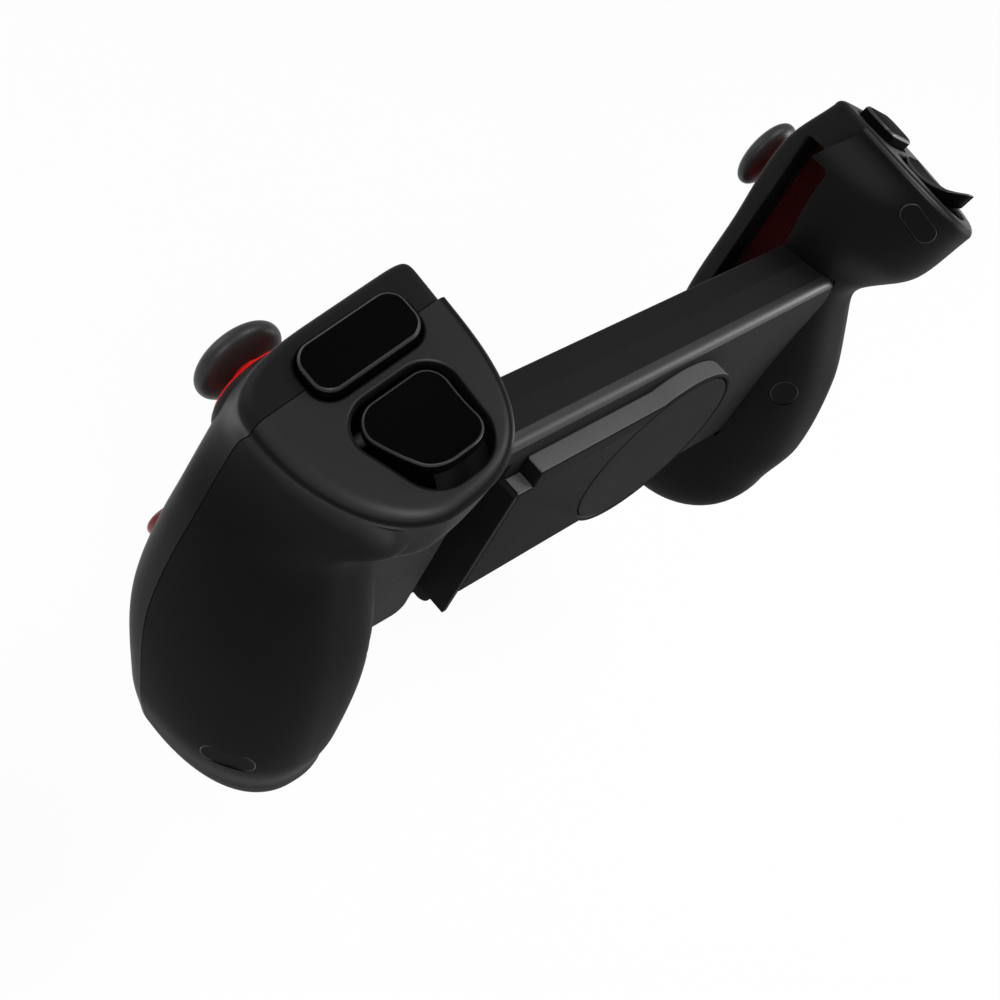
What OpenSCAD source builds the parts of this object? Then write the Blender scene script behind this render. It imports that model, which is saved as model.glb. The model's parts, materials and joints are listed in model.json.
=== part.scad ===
// Telescopic phone game controller: two grips on a sliding bridge that clamps a phone by its ends.
// X runs to the player's right, Y away from the player and Z up towards the shoulder buttons.
// The origin is the middle of the bridge face that the back of the phone rests on.
// The grips mirror each other, so each is written once from its own inner face at x = 0.

/* [Clamp] */
// Gap between the two lining pads with the clamp shut
clamp_open = 144; // [136:1:160]
// How far the right grip pulls out
slide_travel = 86; // [60:1:92]
// Depth of the slot that takes the end of the phone
slot_depth = 7; // [6:0.5:7]
// Front to back width of the slot
slot_width = 10; // [8.5:0.5:10.5]
// Wall left above the slot, down from the top edge
slot_drop = 12; // [11:1:20]
// Bottom of the slot
slot_bottom = -17; // [-18:1:-12]
// Thickness of the lining pad on the slot floor
pad_thick = 1; // [0.6:0.1:1.5]
// Rim left free round the lining pad
pad_rim = 0.6; // [0.3:0.1:1.2]

/* [Grip] */
// Wall of the moulded shells
shell_wall = 2.4; // [2:0.1:2.8]
// Solid band of the shells that holds the slot
jaw_band = 9.6; // [9.4:0.1:9.8]
// Gap that shows as the seam between the front and rear shells
seam_gap = 0.2; // [0.1:0.05:0.4]
// Height of the top edge, at the inner front corner
grip_top = 64; // [63:0.5:65]
// Rounding of the shoulder's edge
shoulder_round = 2.2; // [1.5:0.1:3]
// Slope of the shoulder face, falling outwards
shoulder_tilt = 24; // [22:1:25]
// Slope of the shoulder face, falling rearwards
shoulder_lean = 4.5; // [3.5:0.5:6]
// Line across the grip that the two slopes turn about
shoulder_y = -9; // [-10:0.5:-8]
// How far the rear shell steps inwards past the front shell at the shoulder
shoulder_step = 1; // [0.5:0.5:3]
// How far the rear shell steps inwards past the front shell at the pod
pod_step = 7; // [5:0.5:8]
// Height of the pod section, down from the top edge
pod_drop = 18; // [16:1:20]
// Height of the neck section under the pod
neck_z = 22; // [20:1:24]
// Height of the waist section
waist_z = -6; // [-8:1:-4]
// Height of the bulge section of the handle
bulge_z = -28; // [-30:1:-26]
// Height where the tail starts to close
tail_z = -42; // [-44:1:-40]
// Lowest point of the handle
tail_end = -62.8; // [-66:0.2:-60]
// How far the tail's end swings forwards
tail_swing = 0.8; // [0:0.2:3]
// How far the tail leans inwards past the inner face
tail_inset = 3.4; // [2:0.2:5]
// Inward lean of the tail's inner side, per unit of height
tail_lean_in = 0.22; // [0.1:0.01:0.3]
// Inward lean of the tail's outer side, per unit of height
tail_lean_out = 0.33; // [0.25:0.01:0.4]
// How far the shoulder leans inwards past the inner face
shoulder_inset = 0.8; // [0:0.1:1.2]
// Width of the shoulder section
shoulder_width = 33; // [32:0.5:35]
// Width of the pod section
pod_width = 28.5; // [28:0.5:31]
// Width of the neck section
neck_width = 33; // [31:0.5:34]
// Width of the waist section
waist_width = 37; // [35:0.2:39]
// Width of the bulge section
bulge_width = 36.4; // [35:0.2:39]
// Outer side of the tail section
tail_width = 32; // [30:0.2:34]
// Front of the shoulder section
shoulder_front = -9.6; // [-10.5:0.1:-9]
// Front of the pod section
pod_front = -15; // [-15.2:0.1:-14.4]
// Front of the neck section
neck_front = -15; // [-15.2:0.1:-14]
// Front of the waist section
waist_front = -14.6; // [-15:0.1:-14]
// Front of the bulge section
bulge_front = -9; // [-9.8:0.1:-8.2]
// Front of the tail section
tail_front = -6.8; // [-7.6:0.1:-6]
// Rear of the shoulder section
shoulder_rear = 29; // [28.5:0.1:30]
// Rear of the pod section
pod_rear = 26.2; // [26:0.1:28]
// Rear of the neck section
neck_rear = 15.8; // [15.6:0.1:18]
// Rear of the waist section
waist_rear = 25.2; // [23:0.1:27]
// Rear of the bulge section
bulge_rear = 28.8; // [26:0.1:30]
// Rear of the tail section
tail_rear = 27.2; // [25:0.1:29]

/* [Bridge] */
// Height of the bridge
bridge_height = 57; // [54:0.5:60]
// Front to back depth of the bridge
bridge_depth = 14.4; // [14:0.1:15.5]
// Depth of the front tray, up to the parting line
tray_depth = 6.2; // [5.5:0.1:7]
// Wall of the trays
bridge_wall = 2.2; // [1.8:0.1:2.6]
// Rounding of the rear top edge
bridge_round = 3; // [2:0.1:4]
// Length of the thinner neck at the open end
neck_len = 6.8; // [5:0.1:9]
// Depth of that neck
neck_depth = 10.4; // [10.2:0.1:11]
// Gap between the bridge and the carriage root with the clamp shut
root_gap = 2.6; // [1:0.1:4]
// Length of the carriage root in front of the grip
root_len = 17.4; // [14:0.1:20]
// Height of the carriage root above and below the middle
root_top = 27; // [24:0.5:28]
root_bottom = -23; // [-26:0.5:-21]
// Width and thickness of the sliding tongue
tongue_width = 39.6; // [36:0.1:41]
tongue_thick = 5.8; // [5.4:0.1:6]
// Running gap round the tongue
slide_gap = 0.2; // [0.1:0.05:0.3]
// Gap round a piece that is seated in its pocket
seat_gap = 0.1; // [0.05:0.05:0.2]
// Length of the tongue behind its stop lug
tongue_tail = 7; // [5:0.5:10]
// Length of the stop lug
lug_len = 6; // [4:0.5:8]
// Width of the stop lug
lug_width = 12; // [9:0.5:14]
// Diameter of the two clamp springs
spring_d = 4; // [3.4:0.1:4.4]
// Distance of each clamp spring from the middle
spring_z = 12; // [10:0.5:14]
// Width of the link cable
cable_width = 6; // [5:0.5:8]
// Folds in the link cable
cable_folds = 24; // [16:1:30]

/* [Rear cover] */
// How far the cover stands off the back of the bridge
cover_rise = 4.6; // [4:0.1:5.5]
// Length of the cover from the end plate to the middle of its boss
cover_len = 53; // [46:0.5:58]
// Top and bottom of the cover
cover_top = 21.6; // [19:0.1:22]
cover_bottom = -17.1; // [-19:0.1:-15]
// Rim of the round end, and the bare disc set into it
boss_d = 46; // [42:0.5:48]
disc_d = 43; // [38:0.5:44]
// Height of the middle of the boss
boss_z = 1.1; // [-1:0.1:3]
// Depth of the disc's pocket
disc_seat = 2; // [1.5:0.1:2.4]
// Wall of the cover between the disc's pocket and the battery
cover_wall = 1; // [0.8:0.1:1.4]
// Length and height of the notch at the cover's upper near corner
notch_len = 4; // [3:0.1:6]
notch_height = 4.8; // [3:0.1:6]
// Thickness of the end plate
plate_thick = 1.4; // [1:0.1:2]
// Top and bottom of the end plate
plate_top = 16.7; // [14:0.1:17]
plate_bottom = -23.8; // [-26:0.1:-22]
// Length, height and thickness of the battery
battery_len = 38; // [30:0.5:40]
battery_height = 26; // [20:0.5:28]
battery_thick = 4.6; // [4:0.1:4.8]

/* [Sticks] */
// Place of a stick, from the inner face
stick_x = 14.8; // [14.7:0.1:15.6]
// Place of a stick, down from the top edge
stick_drop = 31.7; // [31:0.1:33]
// Depth of the tilt centre
stick_pivot_y = -7.6; // [-7.8:0.1:-7.2]
// Diameter of the thumb cap
cap_d = 17.5; // [16:0.1:18.5]
// Thickness of the thumb cap
cap_thick = 6; // [5:0.1:7]
// Middle of the cap in front of the tilt centre
cap_reach = 14; // [13.8:0.1:15]
// Radius of the dome that closes the stick's hole
dome_r = 6.9; // [6.8:0.1:7.1]
// Rim of the dome in front of the tilt centre
dome_cut = 3.4; // [3.2:0.1:3.6]
// Diameter of the stick's hole
stick_hole_d = 12.2; // [12:0.1:12.6]
// Diameter of the stick's base module
base_d = 9.2; // [8.8:0.1:9.4]
// Front of the base module in front of the tilt centre
base_front = 1.8; // [1.6:0.1:2]
// Diameter of the gimbal pins
gimbal_pin_d = 1.4; // [1.2:0.1:1.6]
// Diameter of the stick's stem
stem_d = 2.6; // [2.4:0.1:3]
// Click of the cap
cap_click = 0.6; // [0.4:0.1:0.8]
// Outer diameter of the light ring
ring_d = 19.6; // [18.6:0.1:20]
// Inner diameter of the light ring
ring_bore_d = 14; // [13.4:0.1:15]
// Thickness of the light ring
ring_thick = 1.6; // [1.2:0.1:2]
// Depth of the ring's seat
ring_seat = 1; // [0.8:0.1:1.2]
// Front of the collar round the stick
collar_front = -14.6; // [-14.8:0.1:-14.4]
// Wall of the collar round the light ring
collar_wall = 0.8; // [0.6:0.1:1.2]

/* [Buttons] */
// Middle of the button field, from the inner face
field_x = 19.4; // [19.3:0.1:19.8]
// Middle of the button field, above the middle
field_z = 2; // [1:0.1:3]
// Distance of each action button from the middle of the field
field_r = 7.8; // [7.2:0.1:7.9]
// Diameter of an action button's head
button_d = 7.6; // [7:0.1:7.8]
// Diameter of an action button's stem
button_stem_d = 3.4; // [3:0.1:3.6]
// Front of the action buttons
button_front = -15.8; // [-16.6:0.1:-15.6]
// Rear face of the action buttons' heads
button_rear = -11.8; // [-12:0.1:-11.7]
// Travel of the action buttons
button_travel = 1.2; // [0.8:0.1:1.3]
// Radial gap round the buttons
button_gap = 0.2; // [0.15:0.05:0.3]
// Gap left under a pressed key
press_gap = 0.2; // [0.1:0.05:0.4]
// Length of the cross
cross_len = 21; // [19:0.5:21.5]
// Width of the cross
cross_width = 7.4; // [6.5:0.1:7.6]
// Front of the cross
cross_front = -16.6; // [-17.5:0.1:-16]
// Gap round the cross
cross_gap = 0.6; // [0.5:0.05:0.8]
// Rock of the cross to each side
cross_rock = 4; // [2:0.5:4]
// Diameter of the ball that the cross rocks on
ball_d = 4; // [3.4:0.1:4.4]
// Length of a menu button
menu_len = 6.4; // [5.5:0.1:6.6]
// Width of a menu button
menu_width = 3.4; // [3:0.1:3.6]
// Place of the inner menu button, from the inner face
menu_x1 = 14.6; // [14.2:0.1:15.4]
// Place of the outer menu button, from the inner face
menu_x2 = 25; // [24.4:0.1:25.4]
// Height of the menu buttons
menu_z = -17.5; // [-18:0.5:-17]
// Front of the menu buttons
menu_front = -12.8; // [-13.4:0.1:-12.6]
// Travel of the menu buttons
menu_travel = 0.7; // [0.4:0.1:0.9]

/* [Boards] */
// Front face of the circuit board
board_y = -2.5; // [-2.6:0.1:-2.2]
// Thickness of the circuit board
board_thick = 1.6; // [1:0.1:1.6]
// Width of the board in the handle
board_width = 20.4; // [19.8:0.1:20.6]
// Width of the board behind the stick
board_neck = 15.2; // [14.4:0.1:15.4]
// Top of the board above the middle of the stick
board_rise = 6.2; // [5.6:0.1:6.6]
// Bottom of the board
board_bottom = -25; // [-26:0.5:-24]
// Thickness of the keypad sheet
keypad_thick = 0.8; // [0.6:0.1:1]
// Diameter of the posts that carry the board
post_d = 3.6; // [3:0.1:4]

/* [Shoulder keys] */
// Length of the bumper
bumper_len = 20.4; // [19:0.2:21]
// Depth of the bumper
bumper_depth = 9.4; // [8.5:0.1:9.6]
// Middle of the bumper across the shoulder face
bumper_u = 15.6; // [15.2:0.1:16]
// Middle of the bumper along the shoulder face
bumper_v = 8; // [7.8:0.1:8.2]
// How far the bumper stands proud of the shoulder
bumper_rise = 2.4; // [1.6:0.1:2.8]
// Rear face of the bumper under the shoulder
bumper_body = 3.4; // [3.2:0.1:3.8]
// Corner radius of the bumper
bumper_round = 3.4; // [2.5:0.1:4]
// Gap round the bumper
bumper_gap = 0.5; // [0.3:0.05:0.6]
// Travel of the bumper
bumper_travel = 1.2; // [0.8:0.1:1.3]
// Width of the trigger at its front
trigger_width = 16; // [15:0.1:16.4]
// Width of the trigger at its tip
trigger_tip_width = 13; // [11:0.1:13.4]
// How far the tip lies inwards of the trigger's middle
trigger_tip_shift = 1.1; // [0:0.1:1.4]
// Middle of the trigger across the shoulder face
trigger_u = 16.1; // [15.8:0.1:16.3]
// Front edge of the trigger along the shoulder face
trigger_v = 16.8; // [16.6:0.1:17]
// Length of the trigger from its front edge to its tip
trigger_len = 16; // [15:0.1:16.2]
// Radius of the trigger's finger dish
trigger_dish = 16; // [15:0.5:19]
// Thickness of the trigger's blade
trigger_thick = 2.6; // [2.2:0.1:2.8]
// Gap round the trigger in its well
well_gap = 1.6; // [1.4:0.1:1.8]
// Extra room behind the trigger's tip
well_rear = 0.5; // [0.4:0.1:0.6]
// Depth of the trigger's well
well_depth = 8.6; // [8.4:0.1:9]
// Diameter of the trigger's hub
hub_d = 5.2; // [4.8:0.1:5.4]
// Diameter of the trigger pin
pin_d = 2.4; // [2:0.1:2.5]
// Running gap round the trigger pin
pin_gap = 0.05; // [0.03:0.01:0.08]
// Length of the pin's seat at each side of the well
pin_seat = 2.4; // [2:0.1:2.6]
// Length of the trigger's return spring
coil_len = 2.6; // [2:0.1:3]
// Length of an oval screw cover
oval_len = 11; // [9:0.5:12]
// Width of an oval screw cover
oval_width = 5; // [4:0.1:5.5]
// Depth of an oval screw cover
oval_depth = 1.2; // [0.8:0.1:1.4]

/* [Hidden] */
$fn = 48;

// Heights that follow the top edge
slot_top = grip_top - slot_drop;
pod_z = grip_top - pod_drop;
stick_z = grip_top - stick_drop;
board_top = stick_z + board_rise;

// Where each inner face stands, and the ends of the bridge
grip_x = clamp_open / 2 + pad_thick - slot_depth;
bridge_start = -(grip_x + slot_depth);
bridge_end = grip_x - root_len - root_gap;
cover_end = bridge_end - neck_len;

// The tongue's faces, and its ends from the travel
tongue_y0 = bridge_wall + slide_gap;
tongue_y1 = tongue_y0 + tongue_thick;
lug_end = cover_end - bridge_wall - slide_travel - slide_gap;
tongue_start = lug_end - lug_len - tongue_tail;

// Sections of the grip from the shoulder down:
// height, inner, outer, front, rear, seam, power of the rear outer corner, inward step of the rear,
// power of the rear inner corner
shoulder_z = grip_top - shoulder_round;
sections = [
    [shoulder_z, -shoulder_inset, shoulder_width, shoulder_front, shoulder_rear, -0.2, 1.9, shoulder_step, 3],
    [pod_z, 0, pod_width, pod_front, pod_rear, -5.6, 1.6, pod_step, 2.4],
    [neck_z, 0, neck_width, neck_front, neck_rear, -4.8, 1.7, 0, 3.4],
    [waist_z, 0, waist_width, waist_front, waist_rear, -3.8, 1.9, 0, 3.4],
    [bulge_z, 0, bulge_width, bulge_front, bulge_rear, 0.6, 1.9, 0, 3.4],
    [tail_z, -tail_inset, tail_width, tail_front, tail_rear, 0.4, 2.1, 0, 3.4]
];
section_count = len(sections);

// Corner powers of a section: front inner, front outer, and the tail's own
power_fi = 12;
power_fo = 2.8;
power_tail = 2.3;

// Slopes of the shoulder face along x and y
slope_x = tan(shoulder_tilt);
slope_y = tan(shoulder_lean) / cos(shoulder_tilt);

// Heights of the loft's rings: the rounded shoulder edge, the grip, and the domed tail
edge_steps = [90, 55, 25];
body_steps = 16;
tail_steps = [15, 30, 45, 58, 70, 80, 87];
ring_z = concat(
    [for (a = edge_steps) grip_top - shoulder_round * (1 - sin(a))],
    [for (i = [0:body_steps]) shoulder_z + (tail_z - shoulder_z) * i / body_steps],
    [for (a = tail_steps) tail_z + (tail_end - tail_z) * sin(a)]
);
rings = len(ring_z);
arc_steps = 15;

function clip(u) = min(max(u, 0), 1);
function ease(u) = let (c = clip(u)) c * c * (3 - 2 * c);

// Slope of column c below the last section: the tail's two sides lean, and the rest is upright
function end_slope(c) = c == 1 ? tail_lean_in : c == 2 ? tail_lean_out : 0;

// Slope of column c of the sections at section i, from its neighbours
function tangent(c, i) =
    let (a = max(i - 1, 0), b = min(i + 1, section_count - 1))
    i == section_count - 1 ? end_slope(c) : (sections[b][c] - sections[a][c]) / (sections[b][0] - sections[a][0]);

// Smooth curve through column c of the sections at height z
function curve(c, z) =
    let (
        zz = min(max(z, tail_z), shoulder_z),
        i = max([for (k = [0:section_count - 2]) zz <= sections[k][0] ? k : 0]),
        h = sections[i + 1][0] - sections[i][0],
        t = (zz - sections[i][0]) / h
    )
    (2 * pow(t, 3) - 3 * pow(t, 2) + 1) * sections[i][c]
        + (pow(t, 3) - 2 * pow(t, 2) + t) * h * tangent(c, i)
        + (3 * pow(t, 2) - 2 * pow(t, 3)) * sections[i + 1][c]
        + (pow(t, 3) - pow(t, 2)) * h * tangent(c, i + 1)
        + end_slope(c) * min(z - tail_z, 0);

// How far the tail has closed at height z, from 0 to 1
function tail_part(z) = clip((tail_z - z) / (tail_z - tail_end));

// How far the rounded shoulder edge draws the section in at height z
function edge_inset(z) = z > shoulder_z
    ? shoulder_round - sqrt(max(pow(shoulder_round, 2) - pow(z - shoulder_z, 2), 0)) : 0;

// Corner power of a section at angle a; the tail grows round
function corner_power(a, z) =
    let (
        inner = sin(a) < 0 ? power_fi : curve(8, z),
        outer = sin(a) < 0 ? power_fo : curve(6, z),
        n = cos(a) < 0 ? inner : outer,
        w = ease((z - tail_z) / 32)
    )
    1 / (w / n + (1 - w) / power_tail);

// Power that keeps the sign; a value next to nought is taken as nought, so that both halves end on the seam
function signed_pow(v, p) = abs(v) < 0.00001 ? 0 : sign(v) * pow(abs(v), p);

// Point of the grip's skin at height z and angle a, where 0 and 180 degrees lie on the seam.
// Front and rear depths are measured from the seam, and the sections tilt towards the shoulder.
function skin(z, a, wall = 0, band = 0, lift = 0) =
    let (
        close = sqrt(1 - pow(min(tail_part(z), 0.999), 2)),
        edge = edge_inset(z),
        x0 = curve(1, z) + band,
        x1 = curve(2, z) - wall,
        seam = curve(5, z),
        depth = sin(a) < 0 ? seam - curve(3, z) - wall : curve(4, z) - wall - seam,
        step = cos(a) < 0 && sin(a) > -0.000001 ? curve(7, z) : 0,
        p = 2 / corner_power(a, z),
        half = close * (x1 - x0) / 2 - edge + (band > 0 ? 0 : step),
        x = (x0 + x1) / 2 + max(half, 0.3) * signed_pow(cos(a), p),
        y = seam - tail_swing * pow(tail_part(z), 2)
            + max(close * depth - edge, 0.3) * signed_pow(sin(a), p),
        q = ease((z - 8) / 42)
    )
    [x, y, z + lift - q * (slope_x * x + slope_y * (y - shoulder_y))];

// One half of the hollow grip as a closed loft: an outer skin, an inner skin and the seam between them
module half_grip(front) {
    shift = front ? -seam_gap / 2 : seam_gap / 2;
    lift = [for (z = ring_z) shell_wall * (1 - 2 * (z - tail_end) / (grip_top - tail_end))];
    from = front ? 180.0001 : 0;
    angles = [for (j = [0:arc_steps]) from + 179.9999 * j / arc_steps];
    outer = [for (z = ring_z, a = angles) skin(z, a) + [0, shift, 0]];
    inner = [for (i = [0:rings - 1], a = angles)
        skin(ring_z[i], a, shell_wall, jaw_band, lift[i]) + [0, shift, 0]];
    row = arc_steps + 1;
    base = rings * row;
    last = (rings - 1) * row;
    end = arc_steps;
    skin_faces = [for (i = [0:rings - 2], j = [0:arc_steps - 1])
        let (a = i * row + j, b = a + 1, c = b + row, d = a + row) each [[a, b, c], [a, c, d]]];
    caps = concat(
        [for (j = [1:arc_steps - 1]) [0, j + 1, j]],
        [for (j = [1:arc_steps - 1]) [last, last + j, last + j + 1]]
    );
    function turned(faces) = [for (f = faces) [f[2] + base, f[1] + base, f[0] + base]];
    seam = [for (i = [0:rings - 2])
        let (o = i * row, p = o + row, e = o + end, g = p + end)
        each [
            [o + base, o, p], [o + base, p, p + base],
            [e, e + base, g + base], [e, g + base, g]
        ]];
    ends = [
        [end, 0, base], [end, base, base + end],
        [last + base + end, last + base, last], [last + base + end, last, last + end]
    ];
    polyhedron(
        points = concat(outer, inner),
        faces = concat(skin_faces, caps, turned(concat(skin_faces, caps)), seam, ends)
    );
}

// Places a piece of the right grip, or the left one as its mirror image
module on_side(left) {
    mirror([left ? 1 : 0, 0, 0]) translate([grip_x, 0, 0]) children();
}

// Frame of the shoulder face: x outwards, y rearwards, z square to the face
module on_shoulder() {
    translate([0, shoulder_y, grip_top]) rotate([0, shoulder_tilt, 0]) rotate([-shoulder_lean, 0, 0])
        children();
}

// Turns a piece drawn along z so that it points forwards at a place on the front
module on_front(x, z) {
    translate([x, 0, z]) rotate([90, 0, 0]) children();
}

// Places a piece on the grip's skin with z along the outward normal and x along the height
module on_skin(z, a) {
    p = skin(z, a);
    up = skin(z + 0.5, a) - skin(z - 0.5, a);
    round = skin(z, a + 0.5) - skin(z, a - 0.5);
    n = cross(round, up) / norm(cross(round, up));
    u = up / norm(up);
    v = cross(n, u);
    multmatrix([
        [u[0], v[0], n[0], p[0]], [u[1], v[1], n[1], p[1]], [u[2], v[2], n[2], p[2]], [0, 0, 0, 1]
    ]) children();
}

// Flat outline with round ends
module pill(length, width) {
    if (length > width) square([length - width, width], center = true);
    for (s = [-1, 1]) translate([s * (length - width) / 2, 0]) circle(d = width);
}

// Flat rectangle with round corners
module rounded(length, width, r) {
    square([length - 2 * r, width], center = true);
    square([length, width - 2 * r], center = true);
    for (x = [-1, 1], y = [-1, 1]) translate([x * (length / 2 - r), y * (width / 2 - r)]) circle(r);
}

// Directions of the shoulder frame, and a point in it
shoulder_u = [cos(shoulder_tilt), 0, -sin(shoulder_tilt)];
shoulder_v = [
    -sin(shoulder_lean) * sin(shoulder_tilt), cos(shoulder_lean), -sin(shoulder_lean) * cos(shoulder_tilt)
];
shoulder_w = [
    cos(shoulder_lean) * sin(shoulder_tilt), sin(shoulder_lean), cos(shoulder_lean) * cos(shoulder_tilt)
];
function shoulder_point(u, v, w) =
    [0, shoulder_y, grip_top] + u * shoulder_u + v * shoulder_v + w * shoulder_w;

// Levels of the keys above the board
dome_rise = 0.7;
dome_d = 3.2;
dome_y = board_y - keypad_thick - dome_rise;
button_end = dome_y - press_gap - button_travel;
menu_end = dome_y - press_gap - menu_travel;
cross_pad_r = 7;
cross_end = dome_y - press_gap - cross_pad_r * sin(cross_rock);
pocket_y = button_rear + button_travel + press_gap;
ball_y = -10;
board_x = jaw_band + 0.3;
// The board's lower inner corner leans away from the band
foot_start = -6;
foot_cut = 1;
narrow_start = 4;
narrow_end = 16;
keypad_rim = 0.6;
keypad_top = 17;
// Posts of the board: place on the front, and the end in the front wall
board_posts = [[13.2, 18.5, -13.6], [27.4, -11.5, -12.1]];
button_places = [for (a = [90, 0, 270, 180]) [field_x + field_r * cos(a), field_z + field_r * sin(a)]];
menu_places = [[menu_x1, menu_z], [menu_x2, menu_z]];

// Levels of the light ring and its collar
ring_back = collar_front + ring_seat;
collar_d = ring_d + 2 * (seat_gap + collar_wall);
collar_len = 3.6;

// The bumper's stem and its switch
key_u = 17.4;
key_stem_d = 2.4;
key_stem = 3.2;
key_point = shoulder_point(key_u, bumper_v, -(bumper_body + key_stem + bumper_travel + press_gap));

// The trigger's pin, hub and coil
pin_v = trigger_v + 2.1;
pin_w = -(hub_d / 2 + trigger_thick);
pin_u = trigger_u - trigger_width / 2 - well_gap - pin_seat;
pin_len = trigger_width + 2 * (well_gap + pin_seat);
hub_inset = 1.4;
coil_u = trigger_u + trigger_width / 2 - hub_inset - 1 - coil_len;
dish_v = 4.6;
dish_w = trigger_dish - 0.2;

// Oval covers on the rear shell: height, angle, length and width
covers = [
    [grip_top - 7, 134, oval_len, oval_width], [waist_z, 130, 7, 7], [bulge_z, 45, oval_len, oval_width]
];

// The slot that takes the end of the phone
module slot() {
    translate([-10, -slot_width, slot_bottom])
        cube([10 + slot_depth, slot_width, slot_top - slot_bottom]);
}

// Frame of a stick: z points forwards from the tilt centre and y points up
module at_stick() {
    on_front(stick_x, stick_z) translate([0, 0, -stick_pivot_y]) children();
}

// The stick's hole, the room for its dome and the seat of the light ring
module stick_opening() {
    at_stick() {
        cylinder(d = stick_hole_d, h = 20);
        sphere(r = dome_r + 0.25);
    }
    on_front(stick_x, stick_z) translate([0, 0, -ring_back]) cylinder(d = ring_d + 2 * seat_gap, h = 6);
}

// A cross with square arms
module cross_shape(length, width) {
    square([length, width], center = true);
    square([width, length], center = true);
}

// Openings for the keys of the front
module key_openings(left) {
    if (left) {
        on_front(field_x, field_z) translate([0, 0, -pocket_y]) linear_extrude(12)
            cross_shape(cross_len + 2 * cross_gap, cross_width + 2 * cross_gap);
    } else {
        for (p = button_places) on_front(p[0], p[1]) {
            translate([0, 0, -pocket_y]) cylinder(d = button_d + 2 * button_gap, h = 12);
            translate([0, 0, -button_end - 1]) cylinder(d = button_stem_d + 2 * button_gap, h = 8);
        }
    }
    for (p = menu_places) on_front(p[0], p[1]) translate([0, 0, -menu_end]) linear_extrude(12)
        pill(menu_len + 2 * button_gap, menu_width + 2 * button_gap);
}

// Pocket that the bumper sinks into, across the seam
module bumper_pocket() {
    on_shoulder() translate([bumper_u, bumper_v, -(bumper_body + bumper_travel + press_gap)])
        linear_extrude(20)
            rounded(bumper_len + 2 * bumper_gap, bumper_depth + 2 * bumper_gap, bumper_round + bumper_gap);
}

// Outline of the trigger seen square to the shoulder, broad at the front and narrow at the tip
module trigger_plan(gap, rear) {
    front_r = 4;
    tip_r = 5;
    hull() {
        for (s = [-1, 1]) {
            translate([s * (trigger_width / 2 - front_r), front_r]) circle(front_r + gap);
            translate([s * (trigger_tip_width / 2 - tip_r) - trigger_tip_shift, trigger_len - tip_r + rear])
                circle(tip_r + gap);
        }
    }
}

// Cylinder along the trigger's pin
module along_pin(u, d, h) {
    on_shoulder() translate([u, pin_v, pin_w]) rotate([0, 90, 0]) cylinder(d = d, h = h);
}

// Seat of the bridge's end in the left grip, or of the carriage root in the right one
module bridge_seat(left) {
    low = left ? -bridge_height / 2 : root_bottom;
    high = left ? bridge_height / 2 : root_top;
    translate([-10, -0.5, low - seat_gap])
        cube([10 + slot_depth + seat_gap, bridge_depth + 0.5 + seat_gap, high - low + 2 * seat_gap]);
}

// Oval plate on the skin, from a depth outwards
module oval(c, gap, depth, height) {
    on_skin(c[0], c[1]) translate([0, 0, -depth]) linear_extrude(height) rotate(90)
        pill(c[2] + 2 * gap, c[3] + 2 * gap);
}

module front_shell(left) {
    color("#1d1d1f") on_side(left) difference() {
        union() {
            half_grip(true);
            on_front(stick_x, stick_z) translate([0, 0, -collar_front - collar_len])
                cylinder(d = collar_d, h = collar_len);
            for (p = board_posts) on_front(p[0], p[1]) translate([0, 0, -board_y])
                cylinder(d = post_d, h = board_y - p[2]);
        }
        slot();
        stick_opening();
        key_openings(left);
        bumper_pocket();
        bridge_seat(left);
    }
}

module rear_shell(left) {
    color("#1d1d1f") on_side(left) difference() {
        union() {
            half_grip(false);
            on_shoulder() translate([pin_u + pin_len - pin_seat, pin_v - 3, pin_w - 2.4])
                cube([pin_seat, 6, 1.8 - pin_w]);
        }
        slot();
        bumper_pocket();
        on_shoulder() translate([trigger_u, trigger_v, -well_depth]) linear_extrude(20)
            trigger_plan(well_gap, well_rear);
        along_pin(pin_u, pin_d + 2 * pin_gap, pin_len);
        bridge_seat(left);
        for (c = covers) oval(c, seat_gap, oval_depth, 5);
    }
}

module jaw_pad(left) {
    color("#a51a17") on_side(left)
        translate([slot_depth - pad_thick, pad_rim - slot_width, slot_bottom + pad_rim])
            cube([pad_thick, slot_width - 2 * pad_rim, slot_top - slot_bottom - 2 * pad_rim]);
}

module light_ring(left) {
    color("#e8331f") on_side(left) on_front(stick_x, stick_z) translate([0, 0, -ring_back])
        difference() {
            cylinder(d = ring_d, h = ring_thick);
            translate([0, 0, -1]) cylinder(d = ring_bore_d, h = ring_thick + 2);
        }
}

// Round housing of the stick on the board, with the seats of the yoke's pins
module stick_base(left) {
    depth = board_y - stick_pivot_y;
    color("#3a3a3e") on_side(left) at_stick() difference() {
        translate([0, 0, -depth]) cylinder(d = base_d, h = depth + base_front);
        translate([0, 0, -3.1]) cylinder(d = base_d - 2.2, h = 10);
        rotate([0, 90, 0]) cylinder(d = gimbal_pin_d + 2 * pin_gap, h = 20, center = true);
    }
}

// Ring of the gimbal: it turns on pins across the grip and carries the arm's upright pins
module stick_yoke(left) {
    ring_r = base_d / 2 - 1.6;
    color("#8d8f94") on_side(left) at_stick() difference() {
        union() {
            cylinder(r = ring_r, h = 1.8, center = true);
            rotate([0, 90, 0]) cylinder(d = gimbal_pin_d, h = base_d - 0.2, center = true);
        }
        cylinder(r = ring_r - 1, h = 8, center = true);
        rotate([90, 0, 0]) cylinder(d = gimbal_pin_d - 0.2 + 2 * pin_gap, h = 20, center = true);
    }
}

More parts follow.
